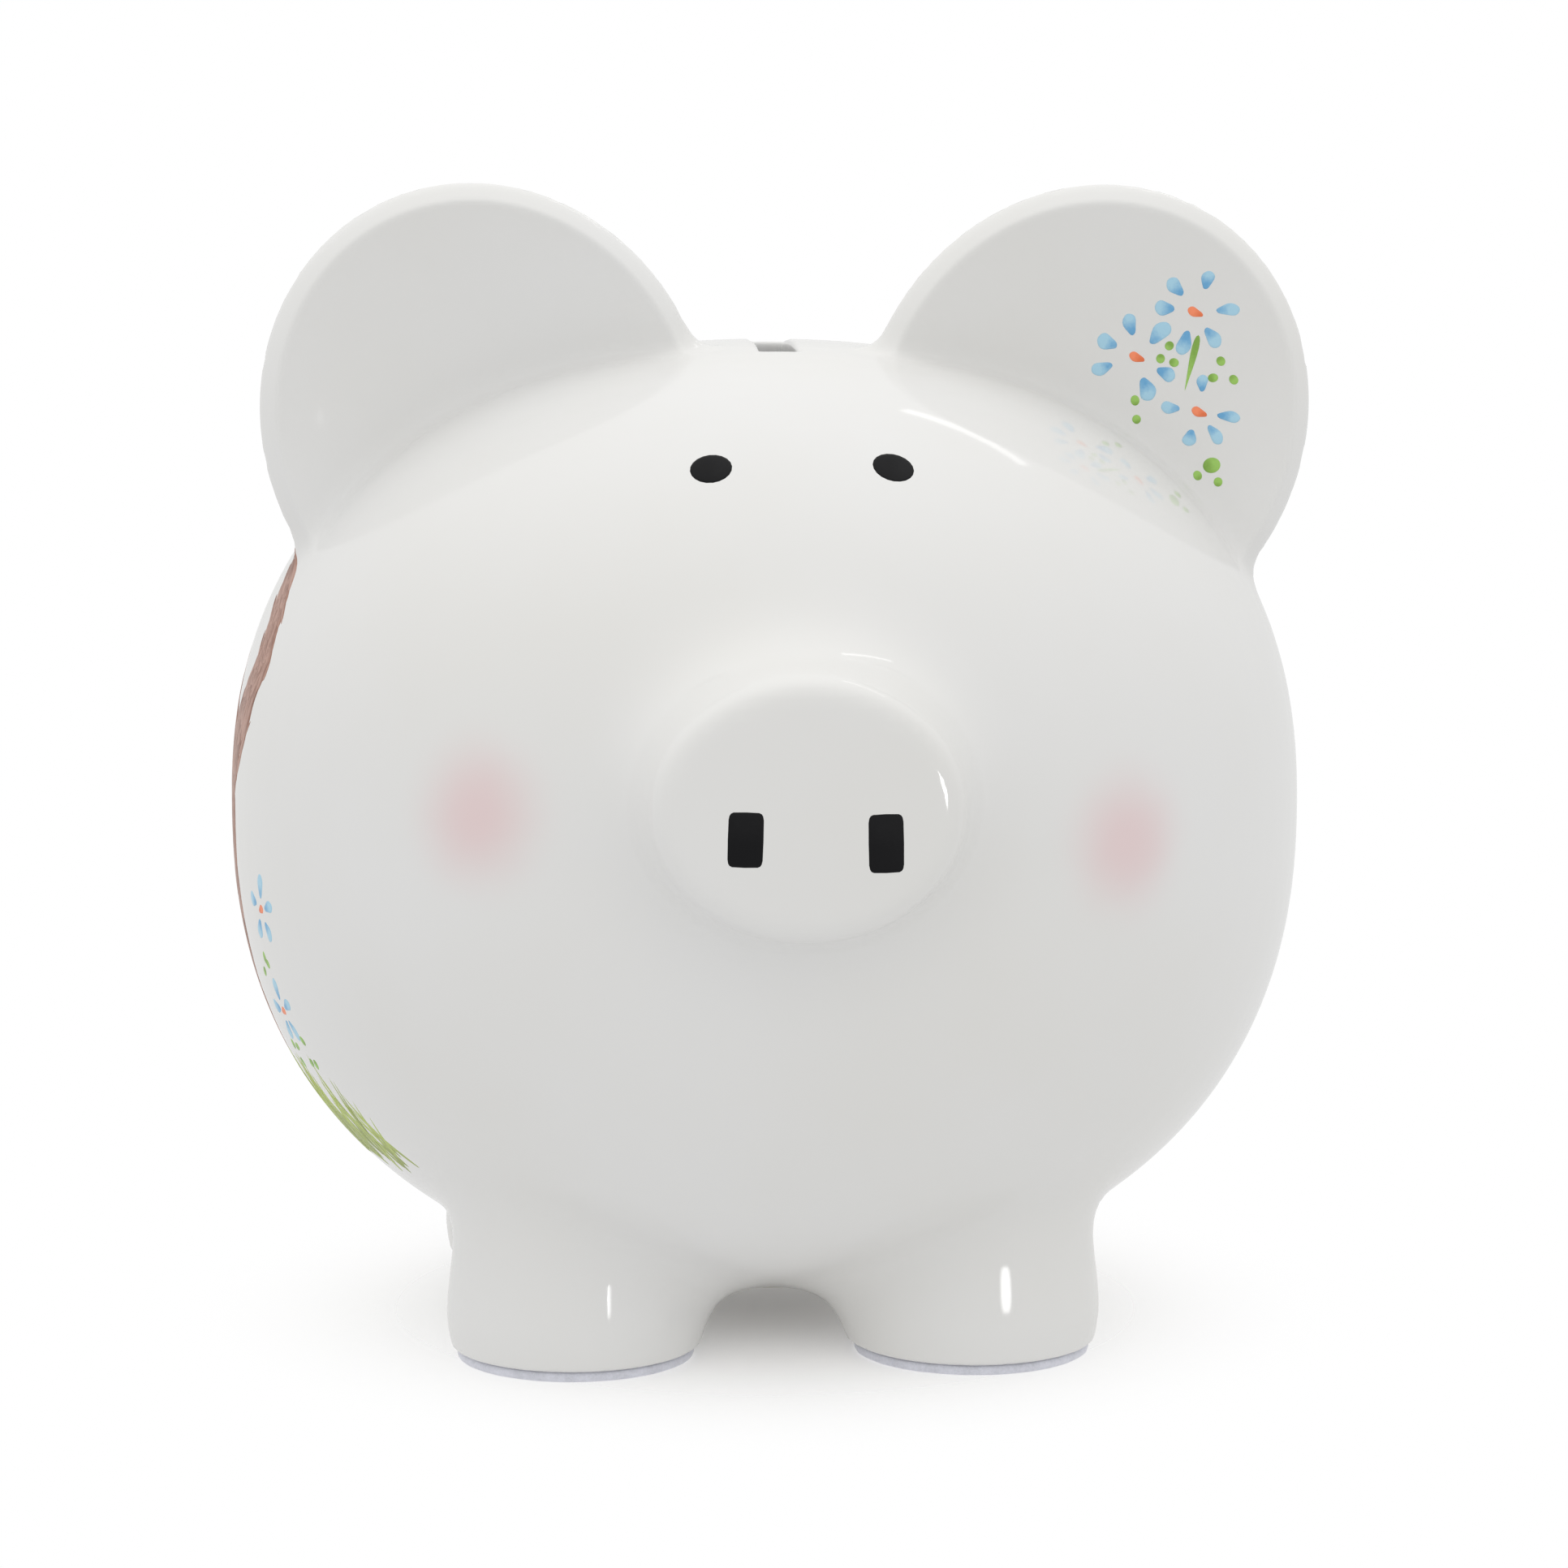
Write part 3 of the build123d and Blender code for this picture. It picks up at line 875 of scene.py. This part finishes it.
def lay_marks(name, kind, marks, towards, lift, material):
    """Marks as (place, heading, half length, half width, tone), brushed on in one direction as one piece."""
    field = castings().outside
    places = cast_onto(field, np.array([m[0] for m in marks], float), towards)
    facing = normals(field, places)
    heading = np.array([m[1] for m in marks], float)
    mesh = bpy.data.meshes.new(name)
    mesh.from_pydata(places.tolist(), [], [])
    sizes = np.array([(m[2], m[3], 1.0) for m in marks], float)
    for label, values in (("facing", facing), ("heading", heading), ("size", sizes)):
        mesh.attributes.new(label, "FLOAT_VECTOR", "POINT").data.foreach_set("vector", values.ravel())
    coats = 1 + 1.6 * np.arange(len(marks)) / len(marks)
    for label, values in (("tone", [m[4] for m in marks]), ("coat", coats)):
        mesh.attributes.new(label, "FLOAT", "POINT").data.foreach_set("value", values)
    shape = add_object("mark", unit_mark(kind))
    made = run_tree(name, mesh, mark_tree(), {"Mark": shape, "Material": material})
    bpy.data.objects.remove(shape)
    points = settle(field, points_of(made), 6, MM)
    raised, coat = np.empty(len(points)), np.empty(len(points))
    made.attributes["lift"].data.foreach_get("value", raised)
    made.attributes["coat"].data.foreach_get("value", coat)
    height = np.where(raised > 0, raised * coat, raised) * lift
    place_points(made, points + normals(field, points) * height[:, None])
    obj = add_object(name, made)
    smooth(made)
    dress(obj, "bank", "glaze", material)


# ---------------------------------------------------------------- operators


def settings():
    return bpy.context.scene.piggy_bank


CASTINGS = []


def castings():
    """The pig's distance field, made once."""
    if not CASTINGS:
        CASTINGS.append(Castings(settings().casting))
    return CASTINGS[0]


class BANK_OT_castings(bpy.types.Operator):
    """Make the glazed skin over the nine luted castings"""

    bl_idname = "bank.castings"
    bl_label = "Glazed castings"

    # longest edges where the skin is refined
    EAR_STEP, RIDGE_STEP, TAIL_STEP, SOLE_STEP, LIP_STEP = 1.9 * MM, 0.9 * MM, 1.2 * MM, 0.9 * MM, 0.75 * MM

    def execute(self, context):
        pig = castings()
        s = settings()
        boxes = [node_box(n) for n in CERAMIC]
        low = np.min([b[0] for b in boxes], axis=0)
        high = np.max([b[1] for b in boxes], axis=0)
        step = s.casting.mesh_step

        def wanted(p):
            size = np.full(len(p), 10 * step)
            outer = pig.outside(p) > -1.5 * MM
            for ear in pig.ears:
                on_ear = (np.abs(ear.distance(p)) < 1.5 * MM) & outer
                size[on_ear] = self.EAR_STEP
                size[on_ear & ear.near_ridge(p)] = self.RIDGE_STEP
            size[np.abs(pig.tail(p)) < 2 * MM] = self.TAIL_STEP
            for x, y, radius, sole in pig.legs:
                rim = np.hypot(p[:, 0] - x, p[:, 1] - y) - radius
                size[(np.abs(rim) < 4 * MM) & (p[:, 2] < sole + 2.5 * MM)] = self.SOLE_STEP
            lips = (np.abs(pig.slot(p)) < 2.2 * MM) | (np.abs(pig.belly_hole(p)) < 1.6 * MM)
            size[lips & (pig.outside(p) > -3.5 * MM)] = self.LIP_STEP
            return size

        obj = skin("glazed_pig", pig, low, high, step, wanted, 2)
        thin_inside(obj, pig)
        place_points(obj.data, settle(pig, points_of(obj.data), 2, 0.2 * MM))
        shade_by(obj, pig)
        cheeks = cast_onto(pig.outside, np.array(cheek_places(pig)), INWARDS)
        dress(obj, "bank", "glaze", glaze_material(s.glaze, cheeks), *CERAMIC)
        return {"FINISHED"}


CERAMIC = ["body_shell", "snout", "tail", "ear_left", "ear_right", *[f"leg_{foot}" for foot in FEET]]


INSIDE_DEPTH, INSIDE_THINNING = 3.8 * MM, 0.75


def thin_inside(obj, pig):
    """Thins out the mesh that only faces the hollow."""
    group = obj.vertex_groups.new(name="inside")
    inside = pig.outside(points_of(obj.data)) < -INSIDE_DEPTH
    group.add(np.flatnonzero(inside).tolist(), 1.0, "REPLACE")
    modifier = obj.modifiers.new("thin", "DECIMATE")
    modifier.vertex_group = "inside"
    modifier.ratio = 1 - INSIDE_THINNING * float(inside.mean())
    graph = bpy.context.evaluated_depsgraph_get()
    thinned = bpy.data.meshes.new_from_object(obj.evaluated_get(graph))
    obj.modifiers.clear()
    obj.vertex_groups.clear()
    old, obj.data = obj.data, thinned
    bpy.data.meshes.remove(old)
    thinned.name = obj.name


def cheek_places(pig):
    """In front of the two cheeks, level with the snout."""
    front = pig.axis[1] - pig.radius
    return [
        (55.8 * MM, front, pig.snout_z - 9.6 * MM),
        (-53.1 * MM, front, pig.snout_z - 3.8 * MM),
    ]


class BANK_OT_face(bpy.types.Operator):
    """Paint the eyes and the nostrils"""

    bl_idname = "bank.face"
    bl_label = "Eyes and nostrils"

    EYES_MIDDLE, EYE_APART, EYE_HEIGHT = 2.0 * MM, 15.4 * MM, 65.0 * MM
    NOSTRILS_OFF, NOSTRIL_APART, NOSTRIL_DROP = 1.1 * MM, 11.5 * MM, 4.6 * MM

    def execute(self, context):
        pig, paint = castings(), settings().paint
        black = paint_material("black_paint", (0.006, 0.006, 0.007), tuple(paint.black), 0.5, 0.12)
        front = pig.axis[1] - 1.2 * pig.radius
        right = np.array([1.0, 0, 0])
        eyes, nostrils = [], []
        for sign, tilt in ((1, -0.10), (-1, 0.07)):
            place = (self.EYES_MIDDLE + sign * self.EYE_APART, front, pig.girth + self.EYE_HEIGHT)
            eyes.append((place, right + (0, 0, tilt), 3.6 * MM, 3.65 * MM, 0.3))
        lay_marks("painted_eyes", "dot", eyes, INWARDS, paint.lift, black)
        for sign, tilt in ((1, -0.02), (-1, 0.03)):
            x = pig.snout_x + self.NOSTRILS_OFF + sign * self.NOSTRIL_APART - max(sign, 0) * 0.35 * MM
            place = (x, front, pig.snout_z - self.NOSTRIL_DROP - sign * 0.4 * MM)
            nostrils.append((place, np.array([tilt, 0, 1.0]), (4.7 + 0.15 * sign) * MM, 2.9 * MM, 0.3))
        lay_marks("painted_nostrils", "block", nostrils, INWARDS, paint.lift, black)
        return {"FINISHED"}


class BANK_OT_ear_flowers(bpy.types.Operator):
    """Paint the spray of flowers in the left ear"""

    bl_idname = "bank.ear_flowers"
    bl_label = "Ear flowers"

    # flower: right and up from the ear's middle, in mm, petal reach, and the petals' directions in degrees
    FLOWERS = (
        (19.3, 18.3, 5.7, (5, 72, 129, 172, 252, 305)),
        (9.2, 10.2, 6.1, (48, 103, 153, 197, 288, 331)),
        (20.4, 0.4, 5.1, (85, 171, 250, 305, 352)),
    )
    SHIFT = (0.5, 1.45)
    DOTS = (
        (14.9, 12.3), (13.4, 10.0), (15.8, 9.3), (24.0, 9.6), (22.7, 6.6),
        (26.3, 6.3), (9.0, 2.5), (9.3, -0.9), (20.1, -10.9), (23.7, -12.0),
    )
    LEAF, STEM = (23.1 * MM, -7.6 * MM), (19.4 * MM, 10.7 * MM)

    def execute(self, context):
        pig, paint = castings(), settings().paint
        ear, draw = pig.ears[0], np.random.default_rng(11)

        def shifted(right, up):
            return ear.point((right + self.SHIFT[0]) * MM, (up + self.SHIFT[1]) * MM)

        petals, centres, dots = [], [], []
        for right, up, reach, turns in self.FLOWERS:
            middle = shifted(right, up)
            centres.append((middle, np.array([1.0, 0, -0.45]), 1.5 * MM, 0.95 * MM, draw.uniform(-0.2, 0.2)))
            for turn in turns:
                out = np.array([math.cos(math.radians(turn)), 0, math.sin(math.radians(turn))])
                place = middle + out * (reach * draw.uniform(0.92, 1.08) * MM)
                size = reach / 5.6 * MM
                length, width = draw.uniform(1.65, 2.4) * size, draw.uniform(1.25, 1.6) * size
                petals.append((place, -out, length, width, draw.uniform(-0.3, 0.1)))
        for right, up in self.DOTS:
            heading, length = draw.uniform(-1, 1, 3) * (1, 0, 1), draw.uniform(0.8, 1.0) * MM
            dots.append((shifted(right, up), heading, length, 0.8 * MM, draw.uniform(-0.3, 0.3)))
        dots.append((ear.point(*self.LEAF), np.array([1.0, 0, 0.2]), 1.6 * MM, 1.4 * MM, 0.0))
        stem = [(ear.point(*self.STEM), np.array([-0.24, 0, -1.0]), 5.2 * MM, 1.0 * MM, 0.0)]
        petal = paint_material("petal_paint", paint.petal_deep, paint.petal_pale)
        centre = paint_material("centre_paint", paint.centre, paler(paint.centre, 1.25, 0.05))
        leaf = paint_material("leaf_paint", paint.leaf, paler(paint.leaf, 1.35, 0.03))
        lay_marks("ear_petals", "petal", petals, INWARDS, paint.lift, petal)
        lay_marks("ear_flower_centres", "petal", centres, INWARDS, paint.lift, centre)
        lay_marks("ear_leaf_dots", "dot", dots, INWARDS, paint.lift, leaf)
        lay_marks("ear_stem", "stem", stem, INWARDS, paint.lift, leaf)
        return {"FINISHED"}


class SidePainting:
    """Brush marks gathered for the pig's right side.

    A place is given by degrees from straight ahead towards the pig's right, and mm over the girth.
    """

    AWAY, ARC = 0.16, 1.69  # where marks are cast from, in metres, and mm along the girth in one degree

    def __init__(self, pig, seed):
        self.pig, self.draw = pig, np.random.default_rng(seed)
        self.marks, self.towards = [], []

    def mark(self, turn, height, heading, length, width, tone=0.0):
        x, y = math.sin(math.radians(turn)), math.cos(math.radians(turn))
        out, sideways = np.array([-x, -y, 0.0]), np.array([-y, x, 0.0])
        place = np.array([*self.pig.axis, self.pig.girth + height * MM]) + out * self.AWAY
        self.marks.append((place, sideways * heading[0] + (0, 0, heading[1]), length * MM, width * MM, tone))
        self.towards.append(-out)

    def limb(self, path, widths, count, length):
        """Dry brush strokes along a limb: path of (degrees, height), with half widths in mm at its ends."""
        path = np.array(path, float)
        for i in range(2 * count):
            streak = i >= count
            t = (i % count + self.draw.uniform(0, 1)) / count
            along = t * (len(path) - 1)
            k = min(int(along), len(path) - 2)
            here = path[k] + (path[k + 1] - path[k]) * (along - k)
            step = (path[k + 1] - path[k]) * (self.ARC, 1.0)
            step /= np.linalg.norm(step)
            wide = widths[0] + (widths[1] - widths[0]) * t
            brush = self.draw.uniform(0.5, 0.9) if streak else min(wide, 2.4)
            off = self.draw.uniform(-1, 1) * max(wide - brush, 0)
            turn = here[0] + off * step[1] / self.ARC
            height = here[1] - off * step[0]
            heading = step + self.draw.uniform(-0.12, 0.12, 2)
            size = length * self.draw.uniform(0.6, 1.2)
            self.mark(turn, height, heading, size, brush, self.draw.uniform(-0.6, 0.5) if streak else 0.1)

    def lay(self, name, kind, lift, material):
        lay_marks(name, kind, self.marks, np.array(self.towards), lift, material)


class BANK_OT_side_tree(bpy.types.Operator):
    """Paint the flowering tree and the grass on the right side"""

    bl_idname = "bank.side_tree"
    bl_label = "Flowering tree"

    # limb: (degrees, height over the girth) along it, half widths at its ends, strokes, half length of a stroke
    LIMBS = (
        (((88, -52), (86, -36), (86, -12), (86, 12)), (9.0, 7.0), 120, 7.5),
        (((86, 6), (80, 18), (76, 29), (77, 37), (80, 43)), (7.0, 4.2), 80, 5.0),
        (((87, 8), (95, 28), (107, 43), (120, 50), (131, 50)), (6.0, 1.4), 80, 5.5),
        (((87, -14), (98, 2), (111, 9), (127, 11), (138, 6)), (3.0, 0.9), 46, 4.5),
        (((104, 39), (106, 50), (103, 61)), (2.4, 0.9), 20, 4.0),
        (((110, 8), (119, -2), (122, -16)), (1.5, 0.7), 18, 3.6),
    )
    # flower: degrees, height over the girth, petals' reach
    FLOWERS = (
        (71, -14.5, 4.4), (71.5, -33, 4.0), (124, -24, 4.6), (130, 20, 4.8), (143, 3, 4.8),
        (117, 18, 4.4), (135, 41, 5.0), (118, 59, 4.6), (98, 64, 4.2), (113, -8, 4.2), (101, -26, 4.2),
    )
    LEAVES = (
        (73, -24), (67, -39), (74, -41), (123, 29), (134, 26), (140, 13), (128, 55), (109, 56),
        (117, -12), (104, -18), (126, 3), (138, 34), (96, -33), (92, 58),
    )
    BLADES, GROUND = 230, -60

    def execute(self, context):
        pig, paint = castings(), settings().paint
        bark = SidePainting(pig, 21)
        for path, widths, count, length in self.LIMBS:
            bark.limb(path, widths, count, length)
        bark.lay("side_tree_bark", "petal", paint.lift, paint_material("bark_paint", paint.bark, paint.bark_pale))
        petals, centres, leaves, grass = (SidePainting(pig, seed) for seed in (22, 23, 24, 25))
        for turn, height, reach in self.FLOWERS:
            start = petals.draw.uniform(0, 60)
            centres.mark(turn, height, (1.0, -0.3), 1.3, 0.9, centres.draw.uniform(-0.2, 0.2))
            for k in range(5):
                angle = math.radians(start + 72 * k + petals.draw.uniform(-9, 9))
                x, z = math.cos(angle), math.sin(angle)
                petals.mark(
                    turn + reach * x / petals.ARC, height + reach * z, (-x, -z),
                    petals.draw.uniform(1.8, 2.4), petals.draw.uniform(1.2, 1.6), petals.draw.uniform(-0.3, 0.1),
                )
        for turn, height in self.LEAVES:
            for k in range(3):
                dx, dz = leaves.draw.uniform(-2.2, 2.2, 2)
                leaves.mark(turn + dx, height + 1.4 * dz, (dx, dz + 0.1), 1.1, 0.8, leaves.draw.uniform(-0.3, 0.3))
        for i in range(self.BLADES):
            turn = 61 + 54 * i / self.BLADES + grass.draw.uniform(-1.5, 1.5)
            lean = grass.draw.uniform(-0.1, 0.7) if turn < 88 else grass.draw.uniform(-0.7, 0.1)
            tall = grass.draw.uniform(3.0, 8.0) + 2.5 * math.sin(0.45 * turn) ** 2
            foot = self.GROUND + 0.95 * tall + grass.draw.uniform(-3, 3)
            grass.mark(turn, foot, (lean, 1.0), tall, 0.8, grass.draw.uniform(-0.6, 0.5))
        petals.lay("side_petals", "petal", paint.lift, bpy.data.materials["petal_paint"])
        centres.lay("side_flower_centres", "petal", paint.lift, bpy.data.materials["centre_paint"])
        leaves.lay("side_leaf_dots", "dot", paint.lift, bpy.data.materials["leaf_paint"])
        blades = paint_material("grass_paint", darker(paint.grass, 0.62), paint.grass)
        grass.lay("side_grass", "stem", paint.lift, blades)
        return {"FINISHED"}


class BANK_OT_stopper(bpy.types.Operator):
    """Make the rubber stopper"""

    bl_idname = "bank.stopper"
    bl_label = "Belly stopper"

    def execute(self, context):
        s = settings().stopper
        field = Stopper(s)
        low, high = node_box("stopper")
        obj = skin("rubber_stopper", field, low, high, s.mesh_step, lambda p: np.full(len(p), 1.0), 0)
        shade_by(obj, field)
        dress(obj, "stopper", "stopper_rubber", rubber_material(s.rubber), "stopper")
        return {"FINISHED"}


class BANK_OT_feet(bpy.types.Operator):
    """Make the felt pads and finish the adhesive under the feet"""

    bl_idname = "bank.feet"
    bl_label = "Felt feet"

    def execute(self, context):
        s = settings().felt
        felt, glue = felt_material(s.felt), glue_material(s.glue)
        for foot in FEET:
            low, high = node_box(f"felt_pad_{foot}")
            obj = add_object(f"felt_pad_{foot}_cut", pad_mesh(low, high))
            dress(obj, "bank", "felt", felt, f"felt_pad_{foot}")
            bpy.data.objects[f"pad_adhesive_{foot}"].material_slots[0].material = glue
        return {"FINISHED"}


# the pad's profile: share of its radius, share of its thickness
PAD_PROFILE = (
    (0.5, 0.0), (0.86, 0.0), (0.972, 0.02), (0.992, 0.14), (1.0, 0.4),
    (0.998, 0.7), (0.988, 0.9), (0.965, 1.0), (0.8, 1.0),
)
PAD_CORNERS, PAD_SLACK, PAD_WAVES = 120, 0.004, (2, 3, 5, 9, 17, 31)


def pad_mesh(low, high):
    """Punched disc of felt with soft edges and an uneven rim."""
    x, y = (low[:2] + high[:2]) / 2
    radius, thick = (high[0] - low[0]) / 2, high[2] - low[2]
    draw = np.random.default_rng(int(abs(x * 1e6)) % 9999 + 7)
    turns = np.linspace(0, 2 * math.pi, PAD_CORNERS, endpoint=False)
    wobble = sum(draw.uniform(0.0006, 0.0016) * np.cos(turns * k + draw.uniform(0, 6.28)) for k in PAD_WAVES)
    points = []
    for r, h in PAD_PROFILE:
        for i in range(PAD_CORNERS):
            turn = 2 * math.pi * i / PAD_CORNERS
            reach = radius * r * (1 - PAD_SLACK + wobble[i] * (r > 0.9))
            points.append((x + reach * math.cos(turn), y + reach * math.sin(turn), low[2] + thick * h))
    faces = ring_faces(len(PAD_PROFILE), PAD_CORNERS, len(points), len(points) + 1)
    points += [(x, y, low[2]), (x, y, high[2])]
    mesh = bpy.data.meshes.new("pad")
    mesh.from_pydata(points, [], faces)
    smooth(mesh)
    mesh.update()
    return mesh


class BANK_OT_stage(bpy.types.Operator):
    """Lay the floor, hang the lights and set the camera"""

    bl_idname = "bank.stage"
    bl_label = "Stage"

    ASIDE, ABOVE = 3.5 * MM, 2.8 * MM  # the middle of the view, from the origin and from the girth

    def execute(self, context):
        pig, s = castings(), settings().stage
        target = Vector((self.ASIDE, pig.axis[1], pig.girth + self.ABOVE))
        a, e = s.azimuth, s.elevation
        back = Vector((math.sin(a) * math.cos(e), -math.cos(a) * math.cos(e), math.sin(e)))
        data = bpy.data.cameras.new("camera")
        data.sensor_width, data.lens, data.clip_start, data.clip_end = 36.0, s.lens, 0.05, 20.0
        camera = bpy.data.objects.new("camera", data)
        camera.location = target + back * s.distance
        camera.rotation_mode = "QUATERNION"
        camera.rotation_quaternion = (-back).to_track_quat("-Z", "Y")
        context.scene.collection.objects.link(camera)
        context.scene.camera = camera
        lay_floor(s.floor, pig.axis)
        for light in LIGHTS:
            hang_light(*light)
        context.scene.world = light_tent(s)
        context.scene.view_settings.view_transform = "Standard"
        return {"FINISHED"}


# light: name, place round the bank and place it points at in metres, width and height, watts, spread in degrees,
# and whether it shows in the gloss (a reflected window) or only lights the surface
LIGHTS = (
    ("overhead_box", (-0.10, 0.20, 1.30), (0.0, 0.0, 0.1), (1.2, 0.9), 2.4, 180, False),
    ("window_on_leg", (0.16, -0.32, 0.025), (0.034, -0.055, 0.022), (0.10, 0.07), 0.0019, 12, True),
    ("window_on_snout", (0.165, -0.37, 0.095), (0.025, -0.107, 0.108), (0.03, 0.11), 0.0012, 10, True),
    ("skylight", (0.50, 0.72, 1.10), (0.04, -0.05, 0.16), (0.40, 0.04), 0.085, 180, True),
    ("skylight_bar", (0.50, 0.98, 0.86), (0.03, -0.05, 0.16), (0.30, 0.025), 0.07, 180, True),
)


def hang_light(name, place, aim, size, power, spread, glossy):
    data = bpy.data.lights.new(name, "AREA")
    data.shape = "RECTANGLE"
    data.size, data.size_y, data.energy = size[0], size[1], power
    data.spread = math.radians(spread)
    lamp = bpy.data.objects.new(name, data)
    lamp.location = place
    lamp.rotation_mode = "QUATERNION"
    lamp.rotation_quaternion = (Vector(aim) - Vector(place)).to_track_quat("-Z", "Y")
    lamp.visible_camera, lamp.visible_glossy, lamp.visible_diffuse = False, glossy, not glossy
    bpy.context.scene.collection.objects.link(lamp)


def light_tent(stage):
    """White surround: brighter overhead than at the sides, and plain white as a backdrop."""
    world = bpy.data.worlds.new("light_tent")
    world.use_nodes = True
    n = Nodes("light_tent", world.node_tree)
    back, out = n.tree.nodes["Background"], n.tree.nodes["World Output"]
    height = n.add("ShaderNodeSeparateXYZ", {0: n.add("ShaderNodeTexCoord").outputs["Generated"]}).outputs["Z"]
    span = n.add("ShaderNodeMapRange", {"Value": height}, From_Min=-1.0)
    ramp = n.add("ShaderNodeValToRGB", {0: span.outputs[0]})
    elements = ramp.color_ramp.elements
    elements.new(0.5)
    for element, colour in zip(elements, (stage.below, stage.around, stage.overhead)):
        element.color = (*colour, 1.0)
    n.tree.links.new(ramp.outputs[0], back.inputs["Color"])
    back.inputs["Strength"].default_value = stage.tent
    plain = n.add("ShaderNodeBackground", Color=(1.0, 1.0, 1.0, 1.0)).outputs[0]
    seen = n.add("ShaderNodeLightPath").outputs["Is Camera Ray"]
    mixed = n.add("ShaderNodeMixShader", {0: seen, 1: back.outputs[0], 2: plain})
    n.tree.links.new(mixed.outputs[0], out.inputs["Surface"])
    return world


FLOOR_HALF, FLOOR_BELOW, FLOOR_REACH, FLOOR_CLEAR = 0.5, 0.1 * MM, 0.115, 0.16
FLOOR_NEAR = 0.6 * MM  # light that starts this near passes the floor, so that the pads' undersides are lit


def lay_floor(colour, middle):
    """Pale floor that shows only from above, and thins out into the white round it."""
    x, y = middle
    mesh = bpy.data.meshes.new("floor")
    corners = [(x + i * FLOOR_HALF, y + j * FLOOR_HALF, -FLOOR_BELOW) for i, j in ((-1, -1), (1, -1), (1, 1), (-1, 1))]
    mesh.from_pydata(corners, [], [(0, 1, 2, 3)])
    n = Nodes("pale_floor")
    patches = n.ramp(n.noise(40.0), (0.3, 0.0), (0.7, 1.0))
    n.link(n.mix(patches, tuple(colour), darker(colour, 0.995)), "Base Color")
    n.set(Roughness=0.6)
    back = n.add("ShaderNodeNewGeometry").outputs["Backfacing"]
    fade = n.span(n.distance((x, y, 0.0)), 0.0, FLOOR_REACH, FLOOR_CLEAR, 1.0)
    close = n.math("LESS_THAN", n.add("ShaderNodeLightPath").outputs["Ray Length"], FLOOR_NEAR)
    gone = n.math("MAXIMUM", n.math("MAXIMUM", back, fade), close)
    clear = n.add("ShaderNodeBsdfTransparent").outputs[0]
    mixed = n.add("ShaderNodeMixShader", {0: gone, 1: n.shader.outputs[0], 2: clear})
    out = next(node for node in n.tree.nodes if node.type == "OUTPUT_MATERIAL")
    n.tree.links.new(mixed.outputs[0], out.inputs["Surface"])
    mesh.materials.append(n.material)
    floor = add_object("floor", mesh)


class BANK_PT_sidebar(bpy.types.Panel):
    """Buttons for every group of pieces"""

    bl_label = "Piggy bank"
    bl_idname = "BANK_PT_sidebar"
    bl_space_type = "VIEW_3D"
    bl_region_type = "UI"
    bl_category = "Piggy bank"

    def draw(self, context):
        for operator in OPERATORS:
            self.layout.operator(operator.bl_idname)


OPERATORS = (
    BANK_OT_castings,
    BANK_OT_face,
    BANK_OT_ear_flowers,
    BANK_OT_side_tree,
    BANK_OT_stopper,
    BANK_OT_feet,
    BANK_OT_stage,
)
CLASSES = (
    CastingSettings,
    GlazeSettings,
    PaintSettings,
    StopperSettings,
    FeltSettings,
    StageSettings,
    BankSettings,
    *OPERATORS,
    BANK_PT_sidebar,
)


def register():
    for cls in CLASSES:
        bpy.utils.register_class(cls)
    bpy.types.Scene.piggy_bank = PointerProperty(type=BankSettings)


def unregister():
    del bpy.types.Scene.piggy_bank
    for cls in reversed(CLASSES):
        bpy.utils.unregister_class(cls)


def main():
    register()
    for operator in OPERATORS:
        group, call = operator.bl_idname.split(".")
        getattr(getattr(bpy.ops, group), call)()


if __name__ == "__main__":
    main()
